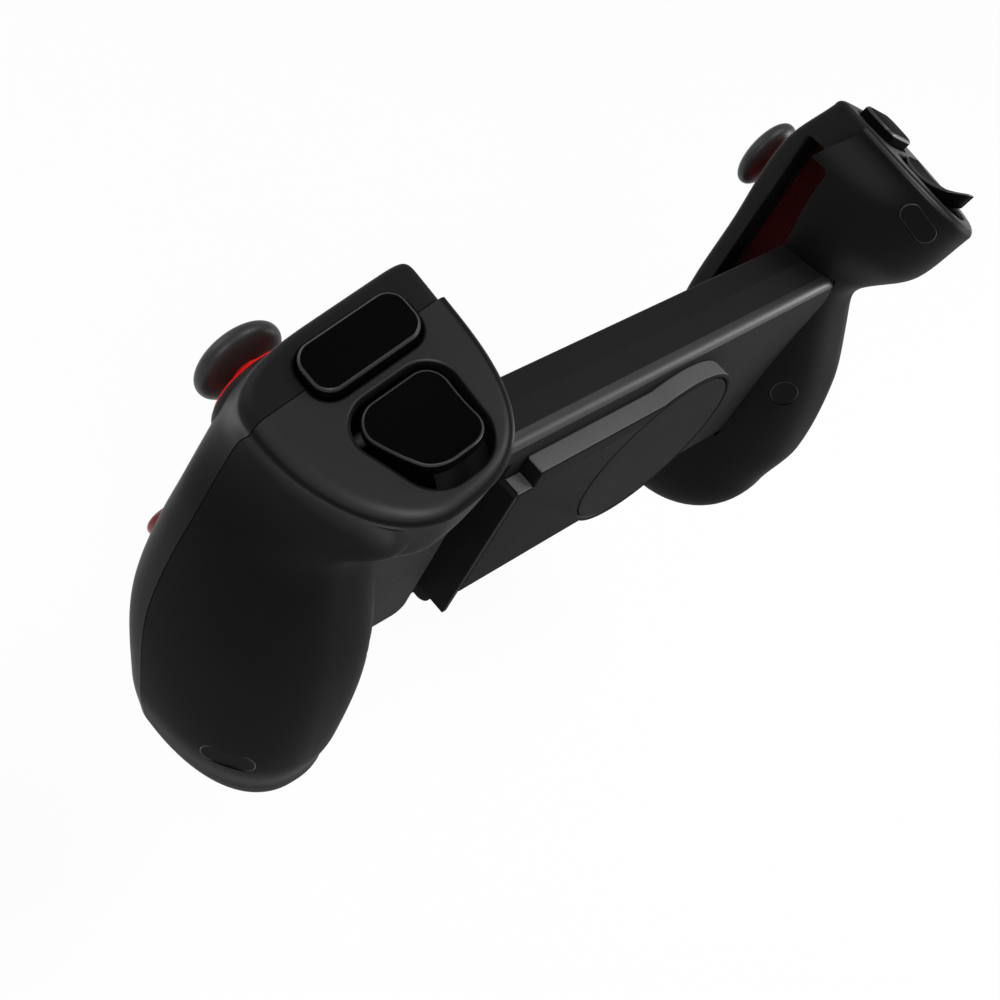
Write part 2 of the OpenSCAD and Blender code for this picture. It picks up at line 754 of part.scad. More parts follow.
module stick_arm(left) {
    ring_r = base_d / 2 - 1.6;
    color("#b9bbc0") on_side(left) at_stick() {
        sphere(r = ring_r - 1.3);
        rotate([90, 0, 0]) cylinder(d = gimbal_pin_d - 0.2, h = 2 * ring_r - 0.2, center = true);
        cylinder(d = stem_d, h = cap_reach - cap_thick / 2 + 2.2 - cap_click - press_gap);
    }
}

// Thumb cap, neck and dome in one revolve, pushed on the arm's stem
module stick_cap(left) {
    rim = cap_thick / 2 - 0.3;
    rim_x = cap_d / 2 - rim;
    low = cap_reach - cap_thick / 2;
    mid = cap_reach + 0.3;
    neck_r = stem_d / 2 + 1.3;
    color("#202022") on_side(left) at_stick() rotate_extrude() difference() {
        union() {
            difference() {
                intersection() {
                    circle(dome_r);
                    translate([0, dome_cut]) square(dome_r);
                }
                circle(dome_r - 1);
            }
            translate([0, dome_cut + 0.2]) square([neck_r, low - dome_cut]);
            polygon([
                [0, low], [neck_r + 0.6, low], [rim_x, mid - rim], [rim_x, mid + rim], [0, mid + rim]
            ]);
            translate([rim_x, mid]) circle(rim);
        }
        translate([0, mid + rim + 21.2]) circle(22);
        square([stem_d / 2 + pin_gap, low + 2.2]);
        translate([-30, -30]) square([30, 60]);
    }
}

// Bumper with a softened top edge, and the stem that presses its switch
module bumper(left) {
    color("#0b0b0c") on_side(left) on_shoulder() {
        translate([bumper_u, bumper_v, -bumper_body]) {
            linear_extrude(bumper_body + bumper_rise - 0.5)
                rounded(bumper_len, bumper_depth, bumper_round);
            translate([0, 0, bumper_body + bumper_rise - 0.5]) linear_extrude(0.5)
                rounded(bumper_len - 1, bumper_depth - 1, bumper_round - 0.5);
        }
        translate([key_u, bumper_v, -bumper_body - key_stem]) cylinder(d = key_stem_d, h = key_stem + 1);
    }
}

// Trigger: a dished blade cut to the plan, on a hub with a gap for the coil
module trigger(left) {
    hub_u = trigger_u - trigger_width / 2 + hub_inset;
    tail_u = coil_u + coil_len + 0.3;
    tail_len = trigger_u + trigger_width / 2 - hub_inset - tail_u;
    color("#0b0b0c") on_side(left) difference() {
        union() {
            on_shoulder() translate([trigger_u, trigger_v, 0]) intersection() {
                translate([0, 0, -well_depth]) linear_extrude(20) trigger_plan(0, 0);
                translate([-15, dish_v, dish_w]) rotate([0, 90, 0]) difference() {
                    cylinder(r = trigger_dish + trigger_thick, h = 30);
                    translate([0, 0, -1]) cylinder(r = trigger_dish, h = 32);
                }
            }
            along_pin(hub_u, hub_d, coil_u - 0.3 - hub_u);
            along_pin(tail_u, hub_d, tail_len);
            on_shoulder() translate([hub_u, pin_v - 1.5, pin_w]) {
                cube([coil_u - 0.3 - hub_u, 3, hub_d / 2 + 1.2]);
                translate([tail_u - hub_u, 0, 0]) cube([tail_len, 3, hub_d / 2 + 1.2]);
            }
        }
        along_pin(pin_u, pin_d + 2 * pin_gap, pin_len);
    }
}

module trigger_pin(left) {
    color("#b9bbc0") on_side(left) along_pin(pin_u, pin_d, pin_len);
}

module trigger_spring(left) {
    color("#9a9ca1") on_side(left) difference() {
        along_pin(coil_u, pin_d + 2, coil_len);
        along_pin(coil_u - 1, pin_d + 0.3, coil_len + 2);
    }
}

// Circuit board with the bumper's switch on its upper tab, and the cross's post on the left one
module board(left) {
    color("#1f5b38") on_side(left) {
        on_front(0, 0) translate([0, 0, -board_y - board_thick]) linear_extrude(board_thick) polygon([
            [board_x, foot_start], [board_x + foot_cut, board_bottom],
            [board_x + board_width, board_bottom],
            [board_x + board_width, narrow_start], [board_x + board_neck, narrow_end],
            [board_x + board_neck, board_top],
            [board_x + 6, board_top], [board_x + 6, key_point[2] - 3], [board_x, key_point[2] - 3]
        ]);
        translate([board_x, key_point[1] - 2, key_point[2] - 3.4]) cube([5, 4, 3]);
        if (left) on_front(field_x, field_z) translate([0, 0, -board_y])
            cylinder(d = 3.2, h = board_y - ball_y - ball_d / 2 - 0.1);
    }
}

// Rubber sheet with a dome under each key
module keypad(left) {
    feet = [for (a = [0:90:270]) [field_x + cross_pad_r * cos(a), field_z + cross_pad_r * sin(a)]];
    places = left ? feet : button_places;
    x0 = board_x + keypad_rim;
    x1 = board_x + board_width - keypad_rim;
    x2 = board_x + board_neck - keypad_rim;
    z0 = board_bottom + keypad_rim;
    color("#45464a") on_side(left) on_front(0, 0) difference() {
        union() {
            translate([0, 0, -board_y]) linear_extrude(keypad_thick) polygon([
                [x0, foot_start], [x0 + foot_cut, z0], [x1, z0],
                [x1, narrow_start - keypad_rim], [x2, narrow_end - keypad_rim],
                [x2, keypad_top], [x0, keypad_top]
            ]);
            for (p = concat(places, menu_places)) translate([p[0], p[1], -board_y])
                cylinder(d = dome_d, h = keypad_thick + dome_rise);
        }
        for (p = board_posts) translate([p[0], p[1], 0]) cylinder(d = post_d + 0.6, h = 10);
        if (left) translate([field_x, field_z, 0]) cylinder(d = 3.8, h = 10);
    }
}

module screw_covers(left) {
    color("#18181a") on_side(left) for (c = covers) oval(c, 0, oval_depth, oval_depth - 0.4);
}

// Action button: domed head and stem in one revolve
module action_button(k) {
    p = button_places[k];
    h = button_rear - button_front;
    color("#c22a1e") on_side(false) on_front(p[0], p[1]) translate([0, 0, -button_rear]) rotate_extrude()
        intersection() {
            union() {
                square([button_d / 2, h]);
                translate([0, button_rear - button_end])
                    square([button_stem_d / 2, button_end - button_rear + 0.5]);
            }
            union() {
                translate([0, h - 16]) circle(16, $fn = 160);
                translate([0, -20]) square([button_d / 2, 21]);
            }
            translate([0, -20]) square([button_d, 50]);
        }
}

module menu_button(left, k) {
    p = menu_places[k];
    color("#2a2a2d") on_side(left) on_front(p[0], p[1]) {
        translate([0, 0, 9.8]) linear_extrude(-menu_front - 9.8) pill(menu_len, menu_width);
        translate([0, 0, -menu_end]) cylinder(d = 2.4, h = menu_end + 10);
    }
}

module cross_ball() {
    color("#b9bbc0") on_side(true) translate([field_x, ball_y, field_z]) sphere(d = ball_d);
}

// Direction cross with a socket for its ball, dished arms and a foot over each dome
module cross_pad() {
    color("#242427") on_side(true) difference() {
        union() {
            on_front(field_x, field_z) translate([0, 0, -button_rear])
                linear_extrude(button_rear - cross_front) cross_shape(cross_len, cross_width);
            for (a = [0:90:270])
                on_front(field_x + cross_pad_r * cos(a), field_z + cross_pad_r * sin(a))
                    translate([0, 0, -cross_end]) cylinder(d = 3, h = cross_end - button_rear + 1);
        }
        translate([field_x, ball_y, field_z]) sphere(d = ball_d + 0.2);
        translate([field_x, cross_front - 12.4, field_z]) sphere(r = 13.2, $fn = 96);
    }
}

// Cross-section of the bridge, x for depth and y for height
module bridge_section() {
    h = bridge_height / 2;
    front_r = 1;
    r = bridge_round;
    translate([front_r, -h]) square([bridge_depth - front_r - r, bridge_height]);
    translate([0, front_r - h]) square([front_r + 1, bridge_height - 2 * front_r]);
    translate([bridge_depth - r - 1, r - h]) square([r + 1, bridge_height - 2 * r]);
    for (s = [-1, 1]) {
        translate([front_r, s * (h - front_r)]) circle(front_r);
        translate([bridge_depth - r, s * (h - r)]) circle(r);
    }
}

// The bridge's block between two depths
module bridge_block(y0, y1) {
    translate([bridge_start, 0, 0]) rotate([90, 0, 90]) linear_extrude(bridge_end - bridge_start)
        intersection() {
            bridge_section();
            translate([y0, -100]) square([y1 - y0, 200]);
        }
}

// Box that is centred in height
module mid_box(x0, x1, y0, y1, half) {
    translate([x0, y0, -half]) cube([x1 - x0, y1 - y0, 2 * half]);
}

spring_y = tongue_y0 + tongue_thick - spring_d / 2 - 0.4;
post_x = bridge_start + bridge_wall + 4.8;
hook_x = bridge_end - 2;
guide_half = tongue_width / 2 + slide_gap;
inside_half = bridge_height / 2 - bridge_wall;

// How far the tray's front is set back where it lies in the grip
tray_relief = 0.3;

module bridge_tray() {
    color("#232325") {
        difference() {
            bridge_block(0, tray_depth);
            mid_box(bridge_start + bridge_wall, bridge_end - bridge_wall, bridge_wall, 20, inside_half);
            mid_box(bridge_start + bridge_wall, bridge_end + 1, bridge_wall, 20, guide_half);
            translate([bridge_start - 1, -1, -bridge_height])
                cube([slot_depth + 1 + seat_gap, 1 + tray_relief, 2 * bridge_height]);
        }
        for (s = [0, 1]) mirror([0, 0, s])
            translate([bridge_start + bridge_wall - 1, bridge_wall - 0.5, guide_half])
                cube([bridge_end - bridge_start - 2 * bridge_wall + 2, tray_depth - bridge_wall + 0.5, 1.8]);
        for (s = [-1, 1]) translate([post_x, bridge_wall - 0.5, s * spring_z]) rotate([-90, 0, 0])
            cylinder(d = 2.6, h = spring_y + spring_d / 2 - bridge_wall + 0.5);
    }
}

// Rear half of the bridge: thinner at its open end, with a step that stops the carriage
module bridge_back() {
    run_y = tongue_y1 + slide_gap;
    deep = bridge_depth - bridge_wall;
    rail_z = cover_top;
    color("#1b1b1d") difference() {
        union() {
            difference() {
                bridge_block(tray_depth, bridge_depth);
                mid_box(bridge_start + bridge_wall, cover_end - bridge_wall, 0, deep, inside_half);
                translate([cover_end, neck_depth, -50]) cube([neck_len + 1, 20, 50 + rail_z]);
            }
            for (s = [0, 1]) mirror([0, 0, s]) translate([bridge_start + 1, run_y, guide_half - 3])
                cube([cover_end - bridge_start - 2, deep - run_y + 0.5, 2]);
        }
        mid_box(bridge_start + bridge_wall, bridge_end + 1, 0, run_y, guide_half);
        translate([battery_x - seat_gap, run_y, battery_z - seat_gap])
            cube([battery_len + 2 * seat_gap, 20, battery_height + 2 * seat_gap]);
        socket_body(seat_gap, 10);
    }
}

// The battery lies under the cover, in a window of the bridge
battery_x = cover_end - 7.2 - battery_len;
battery_z = 1 - battery_height / 2;
battery_y = bridge_depth + cover_rise - disc_seat - cover_wall - battery_thick;

// Outline of the cover: a broad tab that ends in the round boss
module cover_outline() {
    difference() {
        union() {
            translate([cover_end - cover_len, cover_bottom]) square([cover_len, cover_top - cover_bottom]);
            translate([cover_end - cover_len, boss_z]) circle(d = boss_d, $fn = 96);
        }
        translate([cover_end - notch_len, cover_top - notch_height])
            square([notch_len + 1, notch_height + 1]);
    }
}

module rear_cover() {
    top_y = bridge_depth + cover_rise;
    battery_top = battery_y + battery_thick + seat_gap;
    color("#222224") difference() {
        translate([0, top_y, 0]) rotate([90, 0, 0]) linear_extrude(cover_rise) cover_outline();
        translate([cover_end - cover_len, top_y - disc_seat, boss_z]) rotate([-90, 0, 0])
            cylinder(d = disc_d + 0.8, h = disc_seat + 1, $fn = 96);
        translate([battery_x - 0.4, bridge_depth - 1, battery_z - 0.4])
            cube([battery_len + 0.8, battery_top - bridge_depth + 1, battery_height + 0.8]);
    }
}

module boss_disc() {
    color("#1a1a1c") translate([cover_end - cover_len, bridge_depth + cover_rise - disc_seat, boss_z])
        rotate([-90, 0, 0]) cylinder(d = disc_d, h = disc_seat, $fn = 96);
}

module end_plate() {
    color("#141416") translate([cover_end, neck_depth, plate_bottom])
        cube([plate_thick, bridge_depth + cover_rise - neck_depth, plate_top - plate_bottom]);
}

// Carriage: the tongue with its spring and cable grooves, the stop lug and the root in the right grip
module carriage() {
    root_x = grip_x - root_len;
    root_end = grip_x + slot_depth - seat_gap;
    root_depth = bridge_depth - seat_gap - tray_relief;
    groove_end = hook_x + 3;
    cable_half = cable_width / 2 + 0.3;
    spring_half = spring_d / 2 + 0.5;
    lug_rear = min(bridge_depth - bridge_wall - 0.6, battery_y - 0.3);
    color("#2b2b2e") {
        difference() {
            mid_box(tongue_start, root_x + 1, tongue_y0, tongue_y1, tongue_width / 2);
            for (z = [-spring_z, 0, spring_z])
                translate([tongue_start - 1, spring_y - spring_d / 2 - 0.2, z])
                    mid_box(0, groove_end - tongue_start + 1, 0, 20, z == 0 ? cable_half : spring_half);
        }
        for (s = [-1, 1]) translate([hook_x, tongue_y0 + 0.5, s * spring_z]) rotate([-90, 0, 0])
            cylinder(d = 2.6, h = tongue_thick - 1);
        mid_box(lug_end - lug_len, lug_end, tongue_y1, lug_rear, lug_width / 2);
        translate([(root_x + root_end) / 2, bridge_depth - seat_gap, (root_top + root_bottom) / 2])
            rotate([90, 0, 0]) linear_extrude(root_depth)
                rounded(root_end - root_x, root_top - root_bottom, 3);
    }
}

// The two extension springs that draw the clamp shut
module clamp_springs() {
    x0 = post_x + 1.3 + 0.1;
    x1 = hook_x - 1.3 - 0.1;
    color("#a5a7ab") for (s = [-1, 1])
        translate([x0, spring_y, s * spring_z]) rotate([0, 90, 0]) difference() {
            cylinder(d = spring_d, h = x1 - x0);
            translate([0, 0, -1]) cylinder(d = spring_d - 1, h = x1 - x0 + 2);
        }
}

// Flat cable that joins the two grips, folded so that it can draw out
module link_cable() {
    x0 = bridge_start + bridge_wall + 0.3;
    x1 = hook_x + 2.6;
    pitch = (x1 - x0) / cable_folds;
    swing = 1.4;
    thick = 0.4;
    function fold(i) = i == 0 || i == cable_folds ? 0 : (i % 2 == 0 ? swing : -swing);
    edge = [for (i = [0:cable_folds]) [x0 + pitch * i, fold(i)]];
    color("#b8862d") translate([0, spring_y, -cable_width / 2]) linear_extrude(cable_width) polygon(concat(
        [for (p = edge) p + [0, thick / 2]],
        [for (i = [cable_folds:-1:0]) edge[i] - [0, thick / 2]]
    ));
}

module battery() {
    color("#3d4652") translate([battery_x, battery_y, battery_z])
        cube([battery_len, battery_thick, battery_height]);
}

// Place and size of the charging socket in the lower wall
socket_x = -40;
socket_y = 9.6;
socket_len = 5.4;
module socket_body(gap, deeper) {
    translate([socket_x, socket_y, -bridge_height / 2 + 0.2 + (socket_len - deeper) / 2])
        linear_extrude(socket_len + deeper, center = true) rounded(7.6 + 2 * gap, 2.8 + 2 * gap, 0.8);
}

module charge_socket() {
    color("#b9bbc0") difference() {
        socket_body(0, 0);
        translate([socket_x, socket_y, -bridge_height / 2 - 1]) linear_extrude(socket_len)
            rounded(6.8, 2, 0.5);
    }
}

front_shell(true);  // left_front_shell
rear_shell(true);  // left_rear_shell
jaw_pad(true);  // left_jaw_pad
light_ring(true);  // left_light_ring
stick_base(true);  // left_stick_base
stick_yoke(true);  // left_stick_yoke
stick_arm(true);  // left_stick_arm
stick_cap(true);  // left_stick_cap
bumper(true);  // left_bumper
trigger(true);  // left_trigger
trigger_pin(true);  // left_trigger_pin
trigger_spring(true);  // left_trigger_spring
board(true);  // left_board
keypad(true);  // left_keypad
screw_covers(true);  // left_screw_covers
cross_ball();
cross_pad();
menu_button(true, 0);  // select_button
menu_button(true, 1);  // turbo_button
front_shell(false);  // right_front_shell
rear_shell(false);  // right_rear_shell
jaw_pad(false);  // right_jaw_pad
light_ring(false);  // right_light_ring
stick_base(false);  // right_stick_base
stick_yoke(false);  // right_stick_yoke
stick_arm(false);  // right_stick_arm
stick_cap(false);  // right_stick_cap
bumper(false);  // right_bumper
trigger(false);  // right_trigger
trigger_pin(false);  // right_trigger_pin
trigger_spring(false);  // right_trigger_spring
board(false);  // right_board
keypad(false);  // right_keypad
screw_covers(false);  // right_screw_covers
action_button(0);  // top_button
action_button(1);  // outer_button
action_button(2);  // bottom_button
action_button(3);  // inner_button
menu_button(false, 0);  // start_button
menu_button(false, 1);  // home_button
bridge_tray();
bridge_back();
rear_cover();
boss_disc();
end_plate();
carriage();
clamp_springs();
link_cable();
battery();
charge_socket();
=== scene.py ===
"""Looks of a telescopic phone game controller: moulded grips, glossy shoulder keys and a sliding bridge."""
import json
import math

import bmesh
import bpy
import numpy as np
from mathutils import Euler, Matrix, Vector

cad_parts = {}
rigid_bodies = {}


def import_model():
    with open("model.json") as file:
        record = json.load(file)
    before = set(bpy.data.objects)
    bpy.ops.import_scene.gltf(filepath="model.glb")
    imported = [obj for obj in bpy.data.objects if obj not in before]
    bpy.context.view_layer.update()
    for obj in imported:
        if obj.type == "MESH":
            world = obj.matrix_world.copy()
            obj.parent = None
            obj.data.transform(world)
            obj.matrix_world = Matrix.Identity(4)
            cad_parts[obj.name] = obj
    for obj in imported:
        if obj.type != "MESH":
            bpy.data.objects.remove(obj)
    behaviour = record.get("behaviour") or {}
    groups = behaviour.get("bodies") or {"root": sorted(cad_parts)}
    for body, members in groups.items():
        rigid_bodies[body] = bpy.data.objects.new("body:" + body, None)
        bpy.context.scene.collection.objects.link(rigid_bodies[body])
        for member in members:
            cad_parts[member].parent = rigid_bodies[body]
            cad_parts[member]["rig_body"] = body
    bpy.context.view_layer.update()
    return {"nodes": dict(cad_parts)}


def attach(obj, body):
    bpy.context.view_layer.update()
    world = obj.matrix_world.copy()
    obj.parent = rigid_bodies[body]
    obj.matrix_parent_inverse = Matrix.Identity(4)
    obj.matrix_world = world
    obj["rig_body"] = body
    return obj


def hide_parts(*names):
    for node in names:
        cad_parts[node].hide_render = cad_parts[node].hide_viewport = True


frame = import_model()
nodes = frame["nodes"]
scene = bpy.context.scene
scene.view_settings.view_transform = "Standard"

# Lengths below are in millimetres; a mesh is written in metres.
MM = 0.001
BODY = {1: "right_grip", -1: "left_grip"}
SIDE_NAME = {1: "right", -1: "left"}
QUARTERS = np.radians([0.0, 90.0, 180.0, 270.0])

# The grip's loft, from its own inner face at x = 0
GRIP_X = 66.0
WALL = 2.4
BAND = 9.6
SEAM_GAP = 0.2
TOP = 64.0
EDGE = 2.2
TILT = 24.0
LEAN = 4.5
TILT_FROM = 8.0
TILT_SPAN = 42.0
TURN_Y = -9.0
TAIL_Z = -42.0
TAIL_END = -62.8
TAIL_SWING = 0.8
TAIL_BLEND = 32.0
TAIL_LIMIT = 0.9995
LEAST_HALF = 0.3
POWER_FRONT_INNER = 12.0
POWER_FRONT_OUTER = 2.8
POWER_TAIL = 2.3
# Columns after the height; the last three are the power of the rear outer corner, the inward step of
# the rear and the power of the rear inner corner
INNER, OUTER, FRONT, REAR, SEAM, REAR_OUTER, REAR_STEP, REAR_INNER = range(1, 9)
SECTIONS = np.array([
    [61.8, -0.8, 33.0, -9.6, 29.0, -0.2, 1.9, 1.0, 3.0],
    [46.0, 0.0, 28.5, -15.0, 26.2, -5.6, 1.6, 7.0, 2.4],
    [22.0, 0.0, 33.0, -15.0, 15.8, -4.8, 1.7, 0.0, 3.4],
    [-6.0, 0.0, 37.0, -14.6, 25.2, -3.8, 1.9, 0.0, 3.4],
    [-28.0, 0.0, 36.4, -9.0, 28.8, 0.6, 1.9, 0.0, 3.4],
    [-42.0, -3.4, 32.0, -6.8, 27.2, 0.4, 2.1, 0.0, 3.4],
])
TAIL_LEANS = {INNER: 0.22, OUTER: 0.33}
# Rings down the grip, and the arcs of its two halves in degrees
EDGE_TURNS = np.radians(np.linspace(90.0, 9.0, 10))
BODY_RINGS = 130
TAIL_TURNS = np.radians(np.linspace(4.0, 88.5, 22))
FRONT_ARC = (180.0001, 360.0)
REAR_ARC = (0.0, 179.9999)
ARC_STEPS = 84

# The phone slot and its lining, from the same inner face
SLOT_DEPTH = 7.0
SLOT_WIDTH = 10.0
SLOT_LOW = -17.0
SLOT_HIGH = 52.0
SLOT_CORNER = 0.8
SLOT_MOUTH = 0.6
SLOT_CLEAR = 12.0
PAD_THICK = 1.0
PAD_RIM = 0.6
PAD_SOFT = 0.5
PAD_EDGE = 0.35
RIB_HIGH = 0.12
RIB_FADE = 0.8
RIB_WAVES = 9
# Corners of the seats of the carriage root and of the bridge's end
SEAT_LOW = {1: (-10.0, -0.5, -23.1), -1: (-10.0, -0.5, -28.6)}
SEAT_HIGH = {1: (SLOT_DEPTH + 0.1, 14.5, 27.1), -1: (SLOT_DEPTH + 0.1, 14.5, 28.6)}
SEAT_ROUND = 0.4

# The stick, its ring and its cap; profiles are radius and height over the pivot
STICK_X = 14.8
STICK_Y = -7.6
STICK_Z = 32.3
STICK_HOLE_D = 12.2
STICK_CUT = (-2.0, -20.0)
DOME_R = 6.9
DOME_WALL = 1.0
DOME_GAP = 0.25
DOME_SWING = (-25.0, 31.0)
SKIRT_ARC = (30.0, 66.0)
HOLLOW_ARC = (63.0, 35.0)
CAP_D = 17.5
CAP_THICK = 6.0
CAP_REACH = 14.0
CAP_POWER = 2.3
CAP_DISH = 0.8
CAP_DISH_R = 7.0
CAP_UNDER_R = 3.2
CAP_BORE = ((0.1, 13.2), (1.4, 13.2), (1.4, 4.3), (2.6, 4.3))
CAP_NECK = ((2.75, 7.6), (2.65, 9.6), (3.0, 10.6))
# Band of the cap's neck painted red and glowing as if lit by the ring: painted light
PAINTED_GLOW_RADII = (2.0, 3.6)
PAINTED_GLOW_HEIGHTS = (6.0, 10.9)
RING_D = 19.6
RING_GAP = 0.1
RING_BACK = -13.6
COLLAR_FRONT = -14.6
COLLAR_RIM = RING_D / 2 + 0.9
# Steps of the collar's section from its rim and its front
COLLAR = ((-1.5, 3.6), (0.6, 3.6), (0.4, 1.6), (0.2, 0.6), (0.0, 0.2), (-0.2, 0.0), (-1.5, 0.0))

# Keys of the front; a gap is added to a whole width, and a mouth is the rounding of an opening
FIELD_X = 19.4
FIELD_Z = 2.0
FIELD_R = 7.8
BUTTON_D = 7.6
BUTTON_GAP = 0.4
BUTTON_MOUTH = 0.4
CROSS_LEN = 21.0
CROSS_WIDTH = 7.4
CROSS_GAP = 1.2
CROSS_ROUND = 0.9
CROSS_MOUTH = 0.5
KEY_POCKET = -10.4
KEY_FACE = -14.6
KEY_CLEAR = 8.0
MENU_X = (14.6, 25.0)
MENU_Z = -17.5
MENU_LEN = 6.8
MENU_WIDTH = 3.8
MENU_ROUND = 1.89
MENU_POCKET = -6.0
MENU_FACE = -11.4
MENU_MOUTH = 0.3

# Keys of the shoulder, in its own frame of u, v and w
BUMPER_U = 15.6
BUMPER_V = 8.0
BUMPER_LEN = 20.4
BUMPER_DEPTH = 9.4
BUMPER_ROUND = 3.4
BUMPER_RISE = 2.4
BUMPER_BODY = 3.4
BUMPER_SOFT = 0.8
BUMPER_CROWN = 0.25
# Width of the bumper's rim band painted lighter as a highlight
BUMPER_HIGHLIGHT_LINE = 0.5
BUMPER_GAP = 0.5
BUMPER_POCKET = 4.8
BUMPER_MOUTH = 0.6
BUMPER_CLEAR = 12.0
TRIGGER_U = 16.1
TRIGGER_V = 16.8
TRIGGER_WIDTH = 16.0
TRIGGER_TIP = 13.0
TRIGGER_SHIFT = 1.1
TRIGGER_LEN = 16.0
TRIGGER_DISH = 16.0
TRIGGER_THICK = 2.6
TRIGGER_PROUD = 0.7
TRIGGER_SOFT = 0.55
TRIGGER_UNDER = 0.3
TRIGGER_MIDDLE = np.array([-0.4, 7.4])
# Width of the trigger's rim band painted lighter as a highlight
TRIGGER_HIGHLIGHT_LINE = 0.4
DISH_V = 4.6
DISH_DROP = 0.2
WELL_GAP = 1.6
WELL_REAR = 0.5
WELL_DEPTH = 8.6
WELL_MOUTH = 0.7
WELL_CLEAR = 14.0
HUB_D = 5.2
HUB_INSET = 1.4
WEB_HALF = 1.6
WEB_SHORT = 1.4
PIN_V = TRIGGER_V + 2.1
PIN_W = -(HUB_D / 2 + TRIGGER_THICK)
PIN_BORE = 2.5
PIN_REACH = 40.0
PIN_SOFT = 0.3
PIN_STEPS = 48
COIL_LEN = 2.6
COIL_INSET = 1.0
COIL_GAP = 0.3
# How nearly a face must face out of the shoulder to take a key rim's painted highlight
HIGHLIGHT_RIM_FACING = 0.12
OUTLINE_POINTS = 720

# Height, angle, length and width of each oval cover
OVALS = ((57.0, 134.0, 11.0, 5.0), (-6.0, 130.0, 7.0, 7.0), (-28.0, 45.0, 11.0, 5.0))
OVAL_GAP = 0.2
OVAL_CORNER = 0.09
OVAL_SEAT = 1.2
OVAL_CLEAR = 5.0

# Rounded copies of CAD nodes: merging in metres, angles in degrees
MERGE = 2e-6
FLAT_WITHIN = 0.6
BEVEL_OVER = 28.0
BEVEL_STEPS = 3


def ease(u):
    """Smooth step from 0 to 1: three times the square less twice the cube."""
    c = np.clip(u, 0.0, 1.0)
    return c * c * (3.0 - 2.0 * c)


def curve(column, z):
    """Cubic Hermite curve through one column of the sections; the two sides lean on below the last one."""
    heights = SECTIONS[:, 0]
    values = SECTIONS[:, column]
    slopes = np.zeros(len(heights))
    slopes[0] = (values[1] - values[0]) / (heights[1] - heights[0])
    slopes[1:-1] = (values[2:] - values[:-2]) / (heights[2:] - heights[:-2])
    slopes[-1] = TAIL_LEANS.get(column, 0.0)
    held = np.clip(z, heights[-1], heights[0])
    i = np.clip(np.searchsorted(-heights, -held, side="left") - 1, 0, len(heights) - 2)
    span = heights[i + 1] - heights[i]
    t = (held - heights[i]) / span
    start = (2 * t**3 - 3 * t**2 + 1) * values[i] + (t**3 - 2 * t**2 + t) * span * slopes[i]
    end = (3 * t**2 - 2 * t**3) * values[i + 1] + (t**3 - t**2) * span * slopes[i + 1]
    return start + end + slopes[-1] * np.minimum(z - heights[-1], 0.0)


def skin(z, angle, wall=0.0, band=0.0, lift=0.0):
    """Grip skin: superellipse rings about the seam line, closed by a quarter circle at the tail.

    The angle is 0 on the outer seam and 180 on the inner one; the front half has a negative sine.
    Above the handle each ring tilts into the plane of the shoulder face.
    """
    z, angle, lift = np.broadcast_arrays(np.asarray(z, float), np.asarray(angle, float), lift)
    c = np.cos(np.radians(angle))
    s = np.sin(np.radians(angle))
    part = np.clip((TAIL_Z - z) / (TAIL_Z - TAIL_END), 0.0, 1.0)
    close = np.sqrt(1.0 - np.minimum(part, TAIL_LIMIT) ** 2)
    over = np.maximum(z - SECTIONS[0, 0], 0.0)
    edge = EDGE - np.sqrt(np.maximum(EDGE**2 - over**2, 0.0))
    x0 = curve(INNER, z) + band
    x1 = curve(OUTER, z) - wall
    seam = curve(SEAM, z)
    depth = np.where(s < 0, seam - curve(FRONT, z) - wall, curve(REAR, z) - wall - seam)
    step = np.where((c < 0) & (s > -1e-6) & (band == 0), curve(REAR_STEP, z), 0.0)
    inner = np.where(s < 0, POWER_FRONT_INNER, curve(REAR_INNER, z))
    outer = np.where(s < 0, POWER_FRONT_OUTER, curve(REAR_OUTER, z))
    blend = ease((z - TAIL_Z) / TAIL_BLEND)
    power = 2.0 * (blend / np.where(c < 0, inner, outer) + (1.0 - blend) / POWER_TAIL)
    half = np.maximum(close * (x1 - x0) / 2 - edge + step, LEAST_HALF)
    x = (x0 + x1) / 2 + half * np.sign(c) * np.abs(c) ** power
    reach = np.maximum(close * depth - edge, LEAST_HALF)
    rise = np.where(np.abs(s) < 1e-5, 0.0, np.abs(s)) ** power
    y = seam - TAIL_SWING * part**2 + reach * np.sign(s) * rise
    slope_x = math.tan(math.radians(TILT))
    slope_y = math.tan(math.radians(LEAN)) / math.cos(math.radians(TILT))
    drop = ease((z - TILT_FROM) / TILT_SPAN) * (slope_x * x + slope_y * (y - TURN_Y))
    return np.stack([x, y, z + lift - drop], -1)


def grid_faces(rows, columns, closed=False):
    """Quads between neighbouring rows and columns of a grid of points."""
    i, j = np.mgrid[0:rows - 1, 0:columns if closed else columns - 1]
    k = (j + 1) % columns
    corners = [i * columns + j, i * columns + k, (i + 1) * columns + k, (i + 1) * columns + j]
    return np.stack(corners, -1).reshape(-1, 4)


